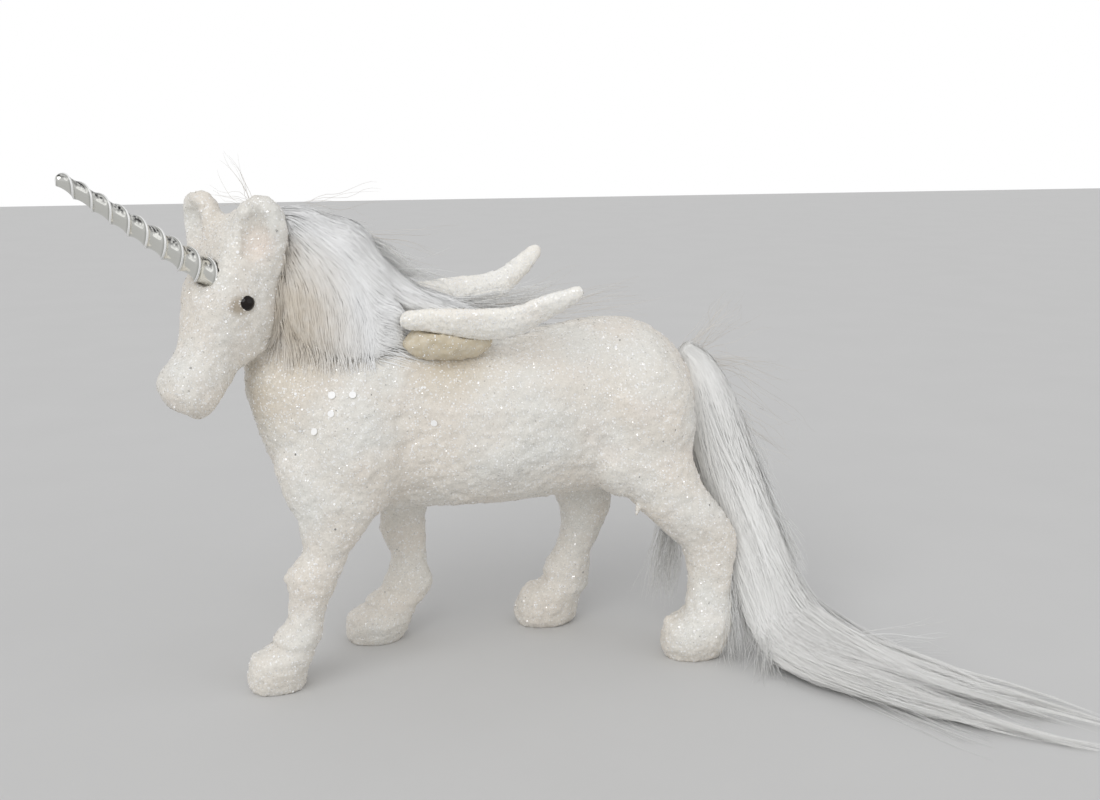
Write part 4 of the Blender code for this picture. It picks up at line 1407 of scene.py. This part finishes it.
@dataclass
class StrayHairs:
    """Single hairs that stand off the mane, the back and the tail.

    Each row of a table has the roots' place, the free ends' place, how far the hairs bow out, how many
    there are, and how far the free ends scatter.
    """

    points: int = 9
    seed: int = 53
    tan: tuple[Wisp, ...] = (
        ((-52.0, -4.0, 116.0), (-57.0, -5.0, 126.0), 1.5, 7, 1.6),
        ((-50.0, -4.0, 116.0), (-60.0, -4.0, 119.0), 2.0, 6, 1.6),
        ((-40.0, 0.0, 116.0), (-22.0, 0.0, 118.0), 2.0, 6, 2.5),
        ((-27.0, 0.0, 109.0), (-8.0, 0.0, 106.0), 2.0, 10, 3.5),
        ((-4.0, 0.0, 90.0), (28.0, 2.0, 93.0), 2.5, 26, 3.2),
        ((6.0, 0.0, 88.0), (42.0, 0.0, 91.0), 2.5, 26, 3.2),
        ((55.0, 0.0, 77.0), (67.0, 0.0, 88.0), 2.5, 26, 3.0),
        ((56.0, 0.0, 76.0), (76.0, -1.0, 72.0), 3.0, 26, 4.5),
        ((62.0, -1.0, 62.0), (80.0, -6.0, 50.0), 3.5, 14, 3.0),
        ((59.0, 0.0, 74.0), (82.0, -4.0, 56.0), 6.0, 12, 3.0),
    )
    white: tuple[Wisp, ...] = (
        ((-30.0, 0.0, 110.0), (-16.0, 0.0, 100.0), 1.5, 60, 2.4),
        ((-24.0, 0.0, 101.0), (-8.0, 1.0, 97.0), 1.5, 60, 2.4),
        ((-12.0, 0.0, 91.0), (20.0, 1.0, 92.0), 1.5, 90, 2.6),
        ((66.0, -6.0, 46.0), (82.0, -12.0, 26.0), 2.0, 40, 2.0),
        ((60.0, -0.5, 75.0), (70.0, -3.0, 56.0), 1.2, 110, 1.5),
        ((66.0, -2.0, 66.0), (74.0, -6.0, 44.0), 1.2, 110, 1.5),
        ((70.0, -3.0, 55.0), (78.0, -9.0, 32.0), 1.2, 110, 1.6),
        ((74.0, -6.0, 43.0), (82.0, -14.0, 21.0), 1.4, 110, 1.8),
        ((-49.0, -3.5, 114.5), (-35.0, -2.0, 113.0), 1.1, 150, 1.2),
        ((-39.0, -2.0, 114.0), (-26.0, 0.0, 108.0), 1.1, 150, 1.3),
        ((-31.0, -1.0, 111.0), (-18.0, 0.0, 101.5), 1.1, 120, 1.4),
        ((57.0, 2.0, 58.0), (50.0, 2.0, 12.0), 2.5, 200, 2.4),
        ((64.0, -6.0, 38.0), (62.0, -20.0, 1.0), 2.5, 200, 2.8),
        ((72.0, -18.0, 12.0), (68.0, -32.0, 0.6), 1.5, 80, 2.8),
        ((82.0, -24.0, 6.0), (108.0, -34.0, 1.5), 2.0, 30, 4.0),
        ((78.0, -34.0, 2.0), (100.0, -72.0, 0.6), 2.0, 60, 4.0),
        ((94.0, -38.0, 2.0), (121.0, -68.0, 0.8), 1.5, 60, 3.0),
    )

    def wisps(self, rng: np.random.Generator, bundle: Hairs, rows: Sequence[Wisp]) -> None:
        """Add the bowed hairs of one table.

        Args:
            rng: the random numbers.
            bundle: where the hairs are kept.
            rows: the table.
        """
        t = np.linspace(0.0, 1.0, self.points)[:, None]
        for start, end, bow, count, spread in rows:
            for _ in range(count):
                root = np.array(start) + rng.normal(0.0, 0.25 * spread, 3)
                free = np.array(end) + rng.normal(0.0, spread, 3)
                bend = rng.normal(0.0, 1.0, 3)
                bend = bend / np.linalg.norm(bend) * bow * rng.uniform(0.4, 1.0)
                curl = rng.normal(0.0, 1.0, 3) * 0.25 * bow
                path = root * (1 - t) + free * t + bend * (4 * t * (1 - t)) + curl * np.sin(3.0 * math.pi * t)
                path[:, 2] = np.maximum(path[:, 2], 0.15)
                bundle.add(path, rng.uniform(*bundle.thin), float(rng.random()))

    def build(self) -> None:
        """Place the stray hairs."""
        rng = np.random.default_rng(self.seed)
        tan = fur("tan_strays", (0.56, 0.50, 0.42, 1.0), (0.86, 0.83, 0.78, 1.0))
        white = fur("white_strays", (0.74, 0.73, 0.71, 1.0), (0.93, 0.94, 0.93, 1.0))
        kinds = (
            (Hairs("stray_hairs", thin=(0.06, 0.1)), self.tan, tan),
            (Hairs("loose_tail_hairs"), self.white, white),
        )
        for bundle, rows, finish in kinds:
            self.wisps(rng, bundle, rows)
            bundle.build(finish.material())


@dataclass
class Studio:
    """Pale floor, soft light and the camera."""

    eye: Point = (-53.0, -311.7, 140.0)
    turn: float = math.radians(13.0)
    pitch: float = math.atan(300.0 / 1300.0)
    lens: float = 36.0 * 1300.0 / 1100.0
    ambient: float = 0.64
    key: float = 1.05
    fill: float = 0.3
    floor_half_m: float = 1.6

    def sun(self, name: str, source: Sequence[float], width: float, power: float) -> None:
        """Hang one soft, distant lamp.

        Args:
            name: the lamp's name.
            source: direction from the figure to the lamp.
            width: how wide the lamp looks from the figure, in degrees.
            power: its strength.
        """
        light = bpy.data.lights.new(name, "SUN")
        light.angle = math.radians(width)
        light.energy = power
        item = bpy.data.objects.new(name, light)
        item.location = Vector(source).normalized()
        item.rotation_euler = (-Vector(source)).to_track_quat("-Z", "Y").to_euler()
        bpy.context.scene.collection.objects.link(item)

    def world(self) -> None:
        """Light the figure evenly and show white behind it."""
        world = bpy.data.worlds.new("studio")
        bpy.context.scene.world = world
        world.use_nodes = True
        tree = world.node_tree
        tree.nodes.clear()
        kinds = ("OutputWorld", "MixShader", "LightPath")
        output, mix, path = (tree.nodes.new(f"ShaderNode{kind}") for kind in kinds)
        for index, colour, strength in ((1, (0.99, 0.99, 1.0, 1.0), self.ambient), (2, (1.0,) * 4, 1.0)):
            sky = tree.nodes.new("ShaderNodeBackground")
            sky.inputs["Color"].default_value = colour
            sky.inputs["Strength"].default_value = strength
            tree.links.new(sky.outputs[0], mix.inputs[index])
        tree.links.new(path.outputs["Is Camera Ray"], mix.inputs[0])
        tree.links.new(mix.outputs[0], output.inputs["Surface"])

    def floor(self) -> None:
        """Lay the pale floor."""
        bm = bmesh.new()
        bmesh.ops.create_grid(bm, x_segments=1, y_segments=1, size=self.floor_half_m)
        item = settled("floor", bm)
        board = Board("pale_floor")
        cloud = board.mottle(40.0, 3.0)
        colour = board.blend(cloud, (0.60, 0.60, 0.595, 1.0), (0.63, 0.63, 0.625, 1.0))
        item.data.materials.append(board.finish(Base_Color=colour, Roughness=0.9))

    def camera(self) -> None:
        """Set the camera at the photograph's viewing angle."""
        data = bpy.data.cameras.new("camera")
        data.lens = self.lens
        data.sensor_width = 36.0
        data.clip_start = 0.01
        item = bpy.data.objects.new("camera", data)
        right = Vector((math.cos(self.turn), -math.sin(self.turn), 0.0))
        depth = Vector((math.sin(self.turn), math.cos(self.turn), 0.0))
        forward = depth * math.cos(self.pitch) - Vector((0.0, 0.0, math.sin(self.pitch)))
        up = right.cross(forward)
        basis = Matrix((right, up, -forward)).transposed().to_4x4()
        item.matrix_world = Matrix.Translation(placed(self.eye)) @ basis
        bpy.context.scene.collection.objects.link(item)
        bpy.context.scene.camera = item

    def build(self) -> None:
        """Set up the whole studio."""
        self.camera()
        self.world()
        self.floor()
        self.sun("key", (-0.5, -0.66, 0.64), 45.0, self.key)
        self.sun("fill", (0.8, -0.6, 0.4), 60.0, self.fill)
        bpy.context.scene.view_settings.view_transform = "Standard"


def main() -> None:
    """Build every sub-assembly."""
    logging.basicConfig(level=logging.INFO, format="%(name)s: %(message)s")
    Studio().build()
    skin = Coat().build()
    Wings().build()
    Horn().build()
    Eyes().build()
    Mane().build(skin)
    Tail().build()
    StrayHairs().build()


if __name__ == "__main__":
    main()
